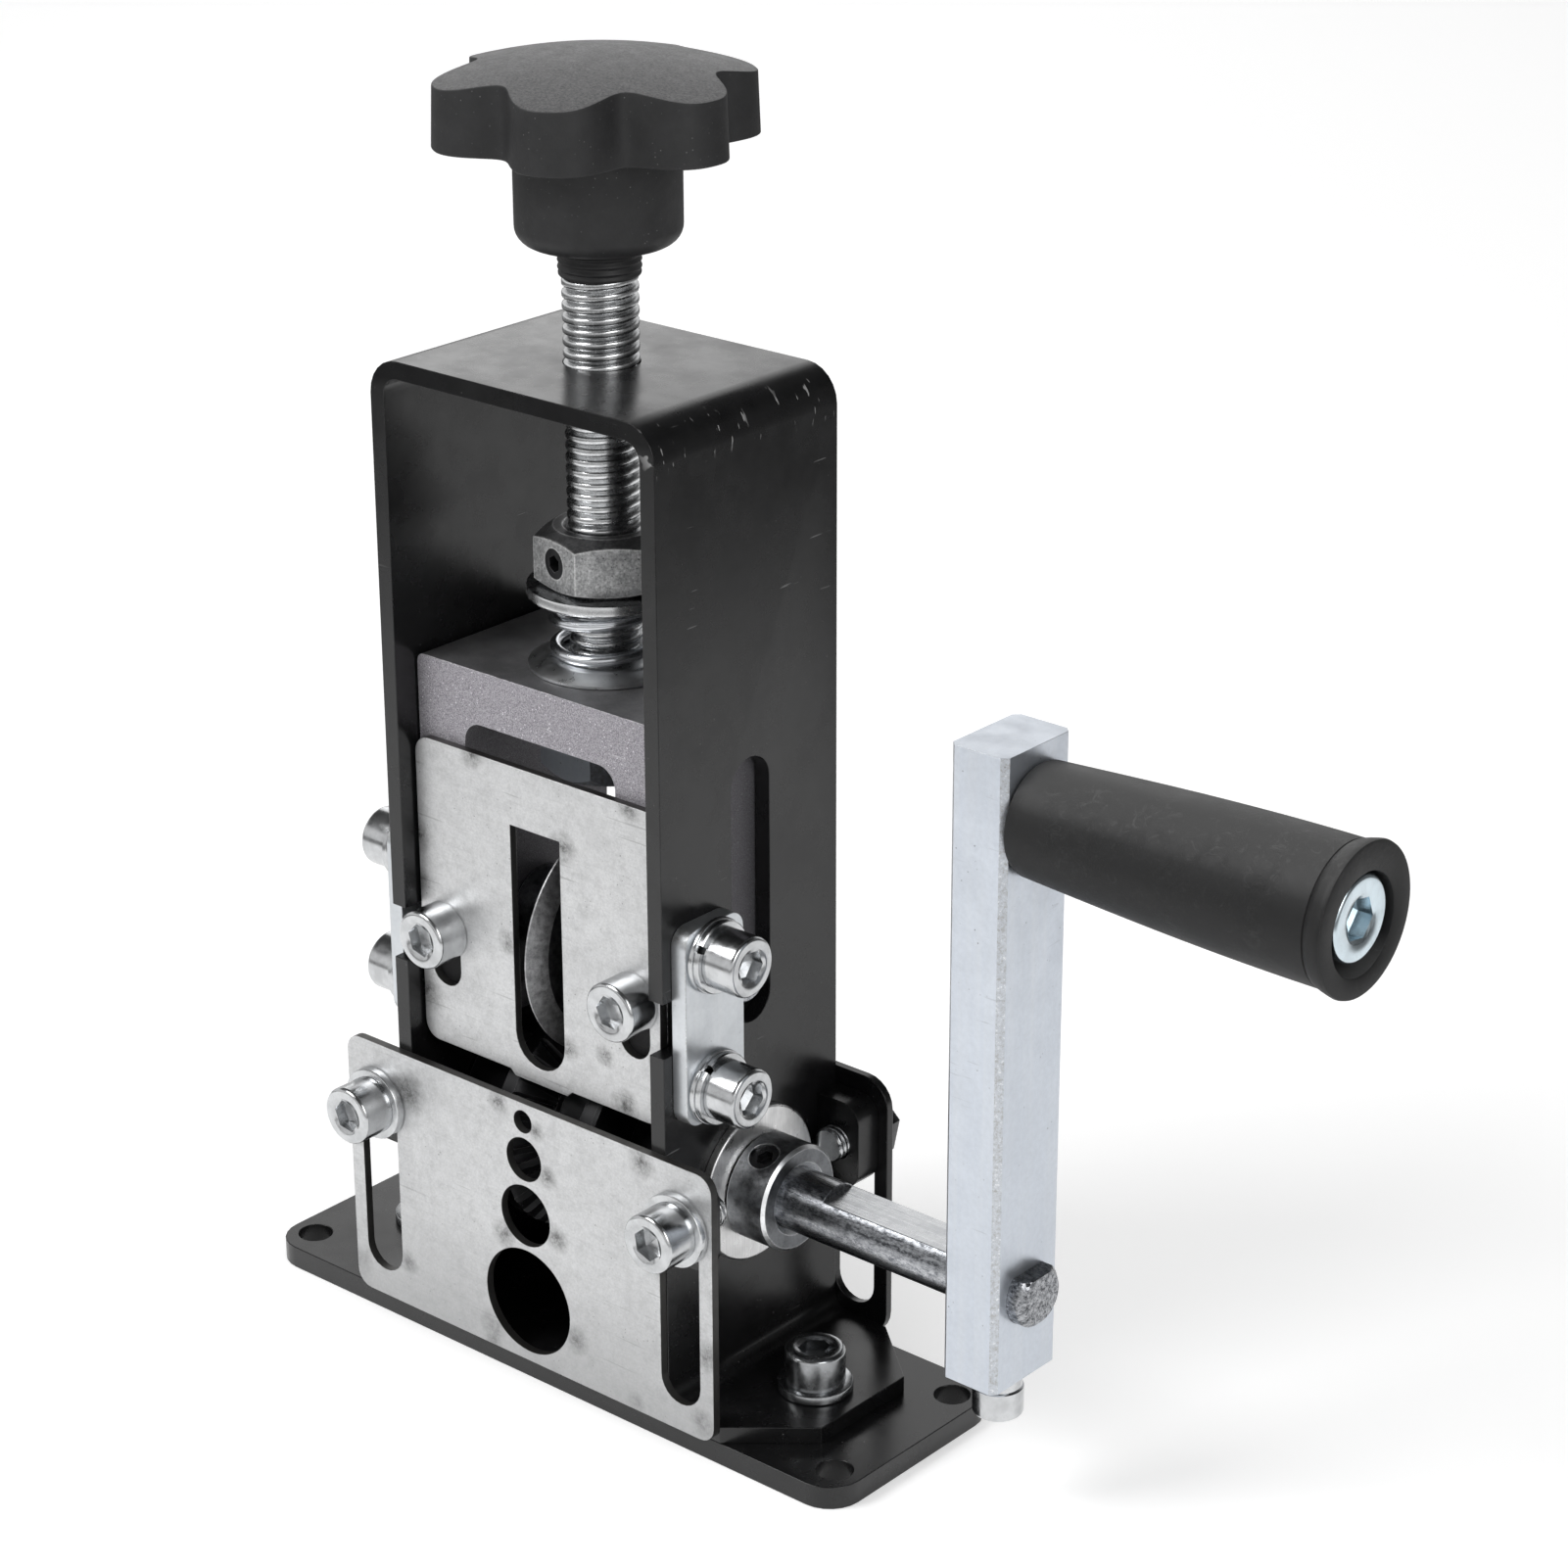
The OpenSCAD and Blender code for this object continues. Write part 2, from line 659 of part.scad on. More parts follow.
module shaft_bushes() {
    color("silver") both_sides() translate([wall_inside, 0, shaft_z]) along_x() difference() {
        union() {
            cylinder(h = sheet + bush_flange_thickness, d = bush_diameter);
            translate([0, 0, sheet])
                ring(bush_flange_diameter, bush_diameter / 2, bush_flange_thickness);
        }
        translate([0, 0, -cut]) cylinder(h = sheet + bush_flange_thickness + 2 * cut,
            d = shaft_diameter + 2 * running_clearance);
    }
}

// Heights of the wire holes' centres above the plate's lower edge, from the largest to the smallest
hole_4_z = wire_hole_margin + wire_hole_4 / 2;
hole_3_z = hole_4_z + wire_hole_4 / 2 + wire_hole_web + wire_hole_3 / 2;
hole_2_z = hole_3_z + wire_hole_3 / 2 + wire_hole_web + wire_hole_2 / 2;
hole_1_z = hole_2_z + wire_hole_2 / 2 + wire_hole_web + wire_hole_1 / 2;
wire_holes = [[wire_hole_1, hole_1_z], [wire_hole_2, hole_2_z], [wire_hole_3, hole_3_z],
    [wire_hole_4, hole_4_z]];

// A plate with two upright slots, its front at y = front
module slotted_plate(front, radius) {
    slot_top = lug_screw_z - plate_z + plate_slot_width / 2;
    translate([0, 0, plate_z]) difference() {
        upright(front, plate_thickness) rounded_outline(plate_width, plate_height, radius);
        both_sides() translate([lug_screw_offset, 0, plate_slot_bottom])
            upright(front - cut, plate_thickness + 2 * cut)
                slot_outline(plate_slot_width, slot_top - plate_slot_bottom);
    }
}

module guide_plate() {
    color("gainsboro") difference() {
        slotted_plate(front_face - plate_thickness, front_plate_corner_radius);
        for (hole = wire_holes)
            translate([0, front_face + cut, plate_z + hole[1]]) along_front()
                cylinder(h = plate_thickness + 2 * cut, d = hole[0]);
    }
}

module guide_screws() {
    under_head = plate_thickness + washer_thickness;
    color("silver") both_sides()
        translate([lug_screw_offset, front_face - under_head, lug_screw_z]) along_front()
            small_cap_screw(under_head + sheet + screw_end_length);
}

module guide_washers() {
    color("silver") both_sides()
        translate([lug_screw_offset, front_face - plate_thickness, lug_screw_z]) along_front()
            small_washer(washer_thickness);
}

module rear_plate() {
    color("dimgray") slotted_plate(rear_face, rear_plate_corner_radius);
}

module rear_bolts() {
    color("silver") both_sides()
        translate([lug_screw_offset, rear_face + plate_thickness, lug_screw_z]) rotate([-90, 0, 0]) {
            cylinder(h = bolt_head_height, d = head_diameter / cos(30), $fn = 6);
            translate([0, 0, -plate_thickness - rear_lug_depth - bolt_end_length])
                cylinder(h = plate_thickness + rear_lug_depth + bolt_end_length + bolt_head_height / 2,
                    d = screw_diameter);
        }
}

module pressure_screw() {
    color("silver") translate([0, 0, rod_bottom_z])
        cylinder(h = rod_top_z - rod_bottom_z, d = rod_diameter);
}

// Distance of the knob's edge from its axis: round lobes with narrower hollows
hollow_sharpness = 1.5;
function knob_edge(angle) = knob_diameter / 2
    - knob_hollow * pow((1 - cos(knob_lobes * (angle - knob_turn))) / 2, hollow_sharpness);

lobe_steps = 10;
module knob_lobes_outline() {
    steps = lobe_steps * knob_lobes;
    polygon([for (i = [0:steps - 1]) let (a = 360 * i / steps) knob_edge(a) * [cos(a), sin(a)]]);
}

// The turned shape that bounds the lobes: a flat underside and a low dome
dome_edge_angle = 60;
module knob_dome_profile() {
    radius = knob_diameter / 2;
    round_share = 0.06;
    edge = radius * round_share;
    polygon(concat([[0, 0], [radius - edge, 0]], arc([radius - edge, edge], edge, -90, 0, 2),
        arc([radius - edge, knob_rim_height - edge], edge, 0, dome_edge_angle, 2),
        [for (i = [3:-1:0]) [radius * i / 4, knob_rim_height + knob_dome * (1 - pow(i / 4, 2))]]));
}

module star_knob() {
    color("darkslategray") difference() {
        union() {
            translate([0, 0, lobe_z]) intersection() {
                linear_extrude(knob_rim_height + knob_dome + cut) knob_lobes_outline();
                rotate_extrude() knob_dome_profile();
            }
            translate([0, 0, hub_z]) rotate_extrude() polygon(concat([[0, 0]],
                arc([knob_hub_diameter / 2 - knob_hub_radius, knob_hub_radius], knob_hub_radius, -90, 0),
                [[knob_hub_diameter / 2, knob_hub_height + knob_rim_height / 2],
                    [0, knob_hub_height + knob_rim_height / 2]]));
            translate([0, 0, knob_z]) cylinder(h = knob_neck_height + cut, d = knob_neck_diameter);
        }
        translate([0, 0, knob_z - cut]) cylinder(h = rod_top_z - knob_z + cut + seat_gap,
            d = rod_diameter + 2 * seat_gap);
    }
}

// The grub screw that locks the pressing nut: it points to the axis through one flat
grub_length = (nut_across - rod_diameter) / 2 - 2 * seat_gap;
module at_nut_grub() {
    rotate([0, 0, nut_turn - 90]) translate([nut_across / 2 - seat_gap, 0, nut_z + nut_height / 2])
        along_x() children();
}

module pressing_nut() {
    color("silver") difference() {
        translate([0, 0, nut_z]) rotate([0, 0, nut_turn])
            nut(nut_across, nut_height, rod_diameter + 2 * thread_clearance);
        at_nut_grub() translate([0, 0, -nut_across / 2])
            cylinder(h = nut_across, d = grub_diameter + 2 * thread_clearance);
    }
}

module nut_grub() {
    color("black") at_nut_grub() grub(grub_diameter, grub_length - thread_clearance);
}

module retaining_nut() {
    color("silver") translate([0, 0, retaining_nut_z]) rotate([0, 0, retaining_nut_turn])
        nut(nut_across, retaining_nut_height, rod_diameter + 2 * thread_clearance);
}

module large_washer() {
    ring(large_washer_diameter, rod_diameter + 2 * running_clearance, large_washer_thickness);
}

module upper_washer() {
    color("silver") translate([0, 0, upper_washer_z]) large_washer();
}

module lower_washer() {
    color("silver") translate([0, 0, lower_washer_z]) large_washer();
}

// The spring: one round wire on a helix whose two ends lie flat against the washers
curl_rings = 8;
wire_sides = 6;
end_turn_share = 0.2;
spring_radius = (spring_diameter - spring_wire) / 2;
spring_rise = spring_height - spring_wire - 2 * seat_gap;
// How far up the wire has come after a part of its length: level, then climbing, then level
function climb(share) = share < end_turn_share ? 0
    : share > 1 - end_turn_share ? 1
    : (share - end_turn_share) / (1 - 2 * end_turn_share);
spring_steps = ceil(spring_turns * curl_rings);
function spring_point(i) = let (share = i / spring_steps, a = 360 * spring_turns * share)
    [spring_radius * cos(a), spring_radius * sin(a),
        spring_z + spring_wire / 2 + seat_gap + spring_rise * climb(share)];
spring_path = [for (i = [0:spring_steps]) spring_point(i)];

// Rings of a tube that turns about the upright axis
function tube_ring(i) = let (p = spring_path[i], a = 360 * spring_turns * i / spring_steps)
    [for (k = [0:wire_sides - 1]) let (b = 360 * k / wire_sides, out = spring_wire / 2 * cos(b))
        p + [out * cos(a), out * sin(a), spring_wire / 2 * sin(b)]];

// Least gap of the wire to itself, between points that lie half a turn or more apart
spring_gap = min([for (i = [0:spring_steps], j = [0:spring_steps])
    if (j - i > curl_rings / 2) norm(spring_path[i] - spring_path[j]) - spring_wire]);
echo(spring_gap_mm = spring_gap);

module pressure_spring() {
    rings = len(spring_path);
    points = [for (i = [0:rings - 1]) each tube_ring(i)];
    sides = [for (i = [0:rings - 2], k = [0:wire_sides - 1], half = [0, 1])
        let (a = i * wire_sides + k, b = i * wire_sides + (k + 1) % wire_sides)
            half == 0 ? [a, b, a + wire_sides] : [b, b + wire_sides, a + wire_sides]];
    last = (rings - 1) * wire_sides;
    caps = [for (k = [1:wire_sides - 2], end = [0, 1])
        end == 0 ? [0, k + 1, k] : [last, last + k, last + k + 1]];
    color("lightsteelblue") polyhedron(points, [for (f = concat(sides, caps)) reversed(f)]);
}

module blade_block() {
    half_outside = concat([[block_width / 2, 0]],
        arc([block_width / 2 - block_edge_radius, block_height - block_edge_radius],
            block_edge_radius, 0, 90));
    half_opening = concat([[opening_width / 2, 0]],
        arc([opening_width / 2 - block_opening_radius, block_height - block_bridge - block_opening_radius],
            block_opening_radius, 0, 90));
    color("darkgray") difference() {
        translate([0, 0, block_bottom_z]) upright(block_front, block_depth)
            polygon(concat(half_outside, mirrored(half_outside),
                reversed(mirrored(half_opening)), reversed(half_opening)));
        translate([0, 0, opening_top_z - cut])
            cylinder(h = block_bridge + 2 * cut, d = rod_diameter + 2 * bolt_clearance);
        translate([-block_width / 2 - cut, 0, axle_z]) along_x()
            cylinder(h = block_width + 2 * cut, d = blade_axle_diameter + 2 * seat_gap);
        for (side = [-1, 1])
            translate([side * guard_screw_offset, block_front + guard_screw_bite + end_gap, guard_screw_z])
                along_front() cylinder(h = guard_screw_bite + end_gap + cut,
                    d = screw_diameter + 2 * thread_clearance);
    }
}

module blade_axle() {
    half_length = wall_outside - blade_axle_inset;
    color("silver") translate([-half_length, 0, axle_z]) along_x() rotate_extrude() polygon([
        [0, 0], [blade_axle_diameter / 2 - edge_chamfer, 0], [blade_axle_diameter / 2, edge_chamfer],
        [blade_axle_diameter / 2, 2 * half_length - edge_chamfer],
        [blade_axle_diameter / 2 - edge_chamfer, 2 * half_length], [0, 2 * half_length]]);
}

module stripping_blade() {
    outer = blade_diameter / 2;
    inner = blade_axle_diameter / 2 + running_clearance;
    color("slategray") translate([0, 0, axle_z]) along_x() rotate_extrude() polygon([
        [inner, -blade_thickness / 2], [outer - blade_bevel, -blade_thickness / 2],
        [outer, -blade_edge / 2], [outer, blade_edge / 2],
        [outer - blade_bevel, blade_thickness / 2], [inner, blade_thickness / 2]]);
}

module blade_spacers() {
    length = opening_width / 2 - blade_thickness / 2 - 2 * end_gap;
    color("silver") both_sides() translate([blade_thickness / 2 + end_gap, 0, axle_z]) along_x()
        ring(spacer_diameter, blade_axle_diameter + 2 * seat_gap, length);
}

module guard_plate() {
    slot_z = guard_screw_z - guard_z - guard_slot_length + guard_slot_width / 2;
    window_low = window_margin + window_width / 2;
    color("gainsboro") translate([0, 0, guard_z]) difference() {
        union() {
            upright(guard_face, guard_thickness)
                rounded_outline(guard_width, guard_height, guard_corner_radius);
            upright(guard_face, guard_thickness) polygon([
                [-lip_width / 2, -lip_drop], [lip_width / 2, -lip_drop],
                [lip_width / 2 + lip_drop, 0], [lip_width / 2 + lip_drop, guard_corner_radius],
                [-lip_width / 2 - lip_drop, guard_corner_radius], [-lip_width / 2 - lip_drop, 0]]);
        }
        upright(guard_face - cut, guard_thickness + 2 * cut) polygon(concat(
            arc([0, window_low], window_width / 2, 180, 360, 2 * arc_steps),
            [[window_width / 2, window_margin + window_height],
                [-window_width / 2, window_margin + window_height]]));
        both_sides() translate([guard_screw_offset, 0, slot_z])
            upright(guard_face - cut, guard_thickness + 2 * cut)
                slot_outline(guard_slot_width, guard_slot_length);
    }
}

module guard_screws() {
    color("silver") both_sides()
        translate([guard_screw_offset, guard_face, guard_screw_z]) along_front()
            small_cap_screw(guard_thickness + guard_screw_bite);
}

module drive_shaft() {
    length = shaft_reach_right + shaft_reach_left;
    radius = shaft_diameter / 2;
    color("silver") difference() {
        translate([-shaft_reach_left, 0, shaft_z]) along_x() rotate_extrude() polygon([
            [0, 0], [radius - edge_chamfer, 0], [radius, edge_chamfer],
            [radius, length - 2 * edge_chamfer], [radius - 2 * edge_chamfer, length], [0, length]]);
        translate([shaft_flat_start, -radius, shaft_z + radius - shaft_flat_depth])
            cube([shaft_reach_right, 2 * radius, shaft_diameter]);
    }
}

// Cuts of the teeth: square bars laid on their edges down the sides of the groove
module groove_tooth_cuts() {
    rim = wheel_diameter / 2;
    slope = atan2((groove_width - groove_floor_width) / 2, rim - groove_floor_diameter / 2);
    bar = tooth_depth * sqrt(2);
    for (side = [-1, 1], i = [0:groove_teeth - 1]) rotate([0, 0, 360 * i / groove_teeth])
        translate([groove_floor_diameter / 2 + tooth_start, 0,
            side * (groove_floor_width / 2 + tooth_start * tan(slope))])
            rotate([0, -side * slope, 0]) rotate([45, 0, 0])
                translate([0, -bar / 2, -bar / 2]) cube([wheel_diameter, bar, bar]);
}

module feed_wheel() {
    rim = wheel_diameter / 2;
    hub_end = wall_inside - wheel_hub_gap;
    floor_edge = groove_floor_diameter / 2;
    inner_side = [[floor_edge, groove_floor_width / 2], [rim - edge_chamfer, groove_width / 2],
        [rim, groove_width / 2 + edge_chamfer]];
    outer_side = [[rim, wheel_width / 2 - edge_chamfer], [rim - edge_chamfer, wheel_width / 2],
        [wheel_hub_diameter / 2, wheel_width / 2], [wheel_hub_diameter / 2, hub_end]];
    half = concat(inner_side, outer_side);
    color("black") translate([0, 0, shaft_z]) along_x() difference() {
        rotate_extrude() polygon(concat([[0, -hub_end]],
            [for (i = [len(half) - 1:-1:0]) [half[i][0], -half[i][1]]], half, [[0, hub_end]]));
        translate([0, 0, -hub_end - cut])
            cylinder(h = 2 * (hub_end + cut), d = shaft_diameter + 2 * seat_gap);
        groove_tooth_cuts();
    }
}

// The middle of a collar's width, with +Z along its screw
module at_collar_screw() {
    translate([collar_start + collar_width / 2, 0, shaft_z]) rotate([collar_screw_lean, 0, 0]) children();
}

module shaft_collars() {
    color("silver") both_sides() difference() {
        translate([collar_start, 0, shaft_z]) along_x() difference() {
            rotate_extrude() polygon([[0, 0], [collar_diameter / 2 - edge_chamfer, 0],
                [collar_diameter / 2, edge_chamfer],
                [collar_diameter / 2, collar_width - edge_chamfer],
                [collar_diameter / 2 - edge_chamfer, collar_width], [0, collar_width]]);
            translate([0, 0, -cut])
                cylinder(h = collar_width + 2 * cut, d = shaft_diameter + 2 * seat_gap);
        }
        at_collar_screw() cylinder(h = collar_diameter, d = collar_screw_diameter + 2 * thread_clearance);
    }
}

module collar_screws() {
    length = (collar_diameter - shaft_diameter) / 2 - collar_screw_depth - 2 * seat_gap;
    color("black") both_sides() at_collar_screw()
        translate([0, 0, collar_diameter / 2 - collar_screw_depth])
            grub(collar_screw_diameter, length);
}

module crank_arm() {
    length = crank_radius + arm_end_top + arm_end_bottom;
    color("gainsboro") difference() {
        translate([arm_offset + arm_thickness / 2, 0, shaft_z - arm_end_bottom]) linear_extrude(length)
            polygon([for (corner = [[1, 1], [-1, 1], [-1, -1], [1, -1]], step = [0, 1])
                let (first = (corner[0] * corner[1] > 0) == (step == 0),
                    shorten_x = first ? 0 : arm_chamfer, shorten_y = first ? arm_chamfer : 0)
                    [corner[0] * (arm_thickness / 2 - shorten_x), corner[1] * (arm_width / 2 - shorten_y)]]);
        difference() {
            translate([arm_offset - cut, 0, shaft_z]) along_x()
                cylinder(h = arm_thickness + 2 * cut, d = shaft_diameter + 2 * seat_gap);
            translate([arm_offset - 2 * cut, -shaft_diameter, shaft_z + shaft_diameter / 2 - shaft_flat_depth
                + seat_gap]) cube([arm_thickness + 4 * cut, 2 * shaft_diameter, shaft_diameter]);
        }
        translate([arm_offset - cut, 0, handle_z]) along_x()
            cylinder(h = arm_thickness + 2 * cut, d = handle_bolt_diameter + 2 * thread_clearance);
        translate([arm_offset + arm_thickness / 2, 0, shaft_z - arm_end_bottom - cut])
            cylinder(h = arm_end_bottom + cut, d = clamp_screw_diameter + 2 * thread_clearance);
    }
}

module clamp_screw() {
    shank = arm_end_bottom - shaft_diameter / 2 + clamp_washer_height - seat_gap;
    color("silver")
        translate([arm_offset + arm_thickness / 2, 0, shaft_z - arm_end_bottom - clamp_washer_height])
            mirror([0, 0, 1]) cap_screw(clamp_screw_diameter, shank, clamp_head_diameter,
                clamp_head_height, clamp_screw_diameter * 4 / 5, clamp_head_height / 2);
}

module clamp_washer() {
    color("silver")
        translate([arm_offset + arm_thickness / 2, 0, shaft_z - arm_end_bottom - clamp_washer_height])
            ring(clamp_head_diameter - edge_chamfer, clamp_screw_diameter + 2 * bolt_clearance,
                clamp_washer_height);
}

// The handle's outline from the arm outwards: a slow swell, then a rounded rim
swell_steps = 8;
rim_start = handle_length - handle_rim_width;
rim_start_angle = -20;
handle_profile = concat(
    [[0, 0], [handle_root_diameter / 2 - edge_chamfer, 0]],
    [for (i = [0:swell_steps]) let (share = i / swell_steps)
        [handle_root_diameter / 2 + (handle_body_diameter - handle_root_diameter) / 2 * sin(90 * share),
            edge_chamfer + (rim_start - edge_chamfer) * share]],
    arc([handle_rim_diameter / 2 - handle_rim_width / 3, handle_length - handle_rim_width / 3],
        handle_rim_width / 3, rim_start_angle, 90),
    [[0, handle_length]]);

module crank_handle() {
    pocket = bolt_head_inside - handle_start;
    color("black") translate([handle_start, 0, handle_z]) along_x() difference() {
        rotate_extrude() polygon(handle_profile);
        translate([0, 0, -cut]) cylinder(h = handle_length + 2 * cut,
            d = handle_bolt_diameter + 2 * running_clearance);
        translate([0, 0, pocket - end_gap]) cylinder(h = handle_length,
            d = handle_bolt_head_diameter + 2 * bolt_clearance);
    }
}

module handle_bolt() {
    color("silver") translate([bolt_head_inside, 0, handle_z]) along_x()
        cap_screw(handle_bolt_diameter, bolt_head_inside - arm_offset - end_gap,
            handle_bolt_head_diameter, handle_bolt_head_height, handle_bolt_diameter * 3 / 4,
            handle_bolt_head_height / 2);
}

base_plate();
frame();
front_lugs();
rear_lugs();
foot_screws();
foot_washers();
side_straps();
strap_screws();
strap_washers();
shaft_bushes();
guide_plate();
guide_screws();
guide_washers();
rear_plate();
rear_bolts();
pressure_screw();
star_knob();
pressing_nut();
nut_grub();
retaining_nut();
upper_washer();
pressure_spring();
lower_washer();
blade_block();
blade_axle();
stripping_blade();
blade_spacers();
guard_plate();
guard_screws();
drive_shaft();
feed_wheel();
shaft_collars();
collar_screws();
crank_arm();
clamp_screw();
clamp_washer();
crank_handle();
handle_bolt();
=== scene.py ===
import json
import math

import bmesh
import bpy
from mathutils import Matrix, Vector


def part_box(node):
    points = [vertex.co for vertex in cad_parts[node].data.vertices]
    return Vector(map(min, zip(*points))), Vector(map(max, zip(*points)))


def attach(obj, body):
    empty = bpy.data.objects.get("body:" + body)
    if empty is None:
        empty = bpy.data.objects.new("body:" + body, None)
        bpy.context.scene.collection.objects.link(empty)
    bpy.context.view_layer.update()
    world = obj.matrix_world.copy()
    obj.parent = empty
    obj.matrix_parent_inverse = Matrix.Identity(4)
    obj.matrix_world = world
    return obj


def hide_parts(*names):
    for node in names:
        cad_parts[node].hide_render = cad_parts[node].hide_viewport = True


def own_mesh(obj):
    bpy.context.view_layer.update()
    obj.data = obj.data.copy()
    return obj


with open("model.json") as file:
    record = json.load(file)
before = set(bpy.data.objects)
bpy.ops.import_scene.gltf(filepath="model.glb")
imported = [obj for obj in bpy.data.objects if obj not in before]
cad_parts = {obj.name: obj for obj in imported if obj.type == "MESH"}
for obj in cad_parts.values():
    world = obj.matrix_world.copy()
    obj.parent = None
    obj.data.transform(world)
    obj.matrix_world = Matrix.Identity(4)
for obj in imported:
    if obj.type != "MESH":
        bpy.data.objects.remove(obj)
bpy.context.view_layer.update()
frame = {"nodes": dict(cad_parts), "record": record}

MM = 0.001
NODES = frame["nodes"]
BODY_OF = {node: body for body, members in frame["record"]["behaviour"]["bodies"].items() for node in members}
FULL_TURN = 2 * math.pi


# Materials

class Nodes:
    """A node tree that is wired with short calls."""

    def __init__(self, tree):
        self.tree = tree

    def node(self, kind, inputs=(), **settings):
        made = self.tree.nodes.new(kind)
        for key, value in settings.items():
            setattr(made, key, value)
        for key, value in dict(inputs).items():
            self.wire(value, made.inputs[key])
        return made

    def wire(self, source, target):
        if isinstance(source, (int, float, tuple)):
            target.default_value = source
        else:
            self.tree.links.new(source, target)

    def band(self, value, low, high, out_low=0.0, out_high=1.0):
        """Runs from one number to another while a value runs from low to high."""
        inputs = {"Value": value, "From Min": low, "From Max": high, "To Min": out_low, "To Max": out_high}
        return self.node("ShaderNodeMapRange", inputs, clamp=True).outputs["Result"]

    def math(self, operation, first, second=0.0):
        return self.node("ShaderNodeMath", {0: first, 1: second}, operation=operation).outputs["Value"]

    def both(self, first, *others):
        """The product of shares."""
        for other in others:
            first = self.math("MULTIPLY", first, other)
        return first


class Finish(Nodes):
    """A material: its colour is laid on coat by coat."""

    def __init__(self, name):
        self.material = bpy.data.materials.new(name)
        self.material.use_nodes = True
        super().__init__(self.material.node_tree)
        self.shader = self.tree.nodes["Principled BSDF"]
        self.place = self.node("ShaderNodeTexCoord").outputs["Object"]
        self.colour = None

    def vector(self, operation, first, second):
        made = self.node("ShaderNodeVectorMath", {0: first, 1: second}, operation=operation)
        return made.outputs["Vector" if operation in ("SUBTRACT", "MULTIPLY") else "Value"]

    def mapped(self, scale=(1, 1, 1), turn=(0, 0, 0), shift=(0, 0, 0)):
        inputs = {"Vector": self.place, "Scale": scale, "Rotation": turn, "Location": shift}
        return self.node("ShaderNodeMapping", inputs).outputs["Vector"]

    def noise(self, scale, detail=4, roughness=0.55, place=None, distortion=0.0):
        inputs = {"Vector": place or self.place, "Scale": scale, "Detail": detail, "Roughness": roughness,
                  "Distortion": distortion}
        return self.node("ShaderNodeTexNoise", inputs).outputs["Fac"]

    def cells(self, scale):
        """Distance to the nearest of many scattered points."""
        inputs = {"Vector": self.place, "Scale": scale}
        return self.node("ShaderNodeTexVoronoi", inputs, feature="F1").outputs["Distance"]

    def mix(self, factor, first, second):
        first, second = (value + (1.0,) if isinstance(value, tuple) else value for value in (first, second))
        inputs = {"Factor": factor, "A": first, "B": second}
        return self.node("ShaderNodeMix", inputs, data_type="RGBA").outputs["Result"]

    def coat(self, colour, *shares):
        """Lays a colour over what is there, as far as the product of its shares says."""
        self.colour = self.mix(self.both(*shares), self.colour, colour)

    def normal(self):
        return self.node("ShaderNodeNewGeometry").outputs["Normal"]

    def edges(self, radius, low=0.03, high=0.25):
        """1 along sharp edges, 0 on flat faces."""
        rounded = self.node("ShaderNodeBevel", {"Radius": radius}, samples=6).outputs["Normal"]
        return self.band(self.math("SUBTRACT", 1.0, self.vector("DOT_PRODUCT", rounded, self.normal())), low, high)

    def lean(self, direction):
        """1 where a face points along a direction, 0 square to it, -1 away from it."""
        return self.vector("DOT_PRODUCT", self.normal(), direction)

    def facing(self, direction, low=0.5, high=0.9):
        """1 where a face points along a direction, 0 where it points elsewhere."""
        return self.band(self.lean(direction), low, high)

    def cut_faces(self, direction):
        """1 where a sheet shows its thickness, 0 on the two faces that point along a direction."""
        return self.band(self.math("ABSOLUTE", self.lean(direction)), 0.55, 0.85, 1.0, 0.0)

    def rims(self, direction):
        """1 on the rounded rims of the flat faces that point along a direction, either way."""
        lean = self.math("ABSOLUTE", self.lean(direction))
        return self.both(self.band(lean, 0.10, 0.25), self.band(lean, 0.93, 0.985, 1.0, 0.0))

    def specks(self, scale, core, rim, cloud, low, high):
        """1 in small round specks, which show only where a cloud is thick."""
        return self.both(self.band(self.cells(scale), core, rim, 1.0, 0.0), self.band(cloud, low, high))

    def hairs(self, stretch, slant, shift, thin, patch, gaps, roughness=0.4):
        """1 in fine scratches across a slant, which show only in patches."""
        hair = self.noise(1.0, 2, roughness, self.mapped(stretch, slant, shift))
        patches = self.noise(patch, 2, place=self.mapped(shift=shift))
        return self.both(self.band(hair, *thin), self.band(patches, *gaps))

    def reach(self, centre, keep=(1, 1, 1)):
        """Distance from a point in millimetres, measured along the kept axes only, in metres."""
        away = self.vector("SUBTRACT", self.place, tuple(c * MM for c in centre))
        return self.vector("LENGTH", self.vector("MULTIPLY", away, keep), (0, 0, 0))

    def spots(self, y, centres, ragged):
        """1 in soft round spots on a face at y, each given as (x, z, radius) in millimetres."""
        total = 0.0
        for x, z, radius in centres:
            away = self.vector("DISTANCE", self.place, (x * MM, y * MM, z * MM))
            total = self.math("MAXIMUM", total, self.band(away, 0.1 * radius * MM, radius * MM, 1.0, 0.0))
        return self.both(total, ragged)

    def bump(self, height, strength, distance, below=None):
        inputs = {"Height": height, "Strength": strength, "Distance": distance}
        if below is not None:
            inputs["Normal"] = below
        return self.node("ShaderNodeBump", inputs).outputs["Normal"]

    def finish(self, roughness, metallic, normal=None, specular=None):
        for name, value in (("Base Color", self.colour), ("Roughness", roughness), ("Metallic", metallic),
                            ("Normal", normal), ("Specular IOR Level", specular)):
            if value is not None:
                self.wire(value, self.shader.inputs[name])
        return self.material


def shade(tint, share):
    return tuple(c * share for c in tint)


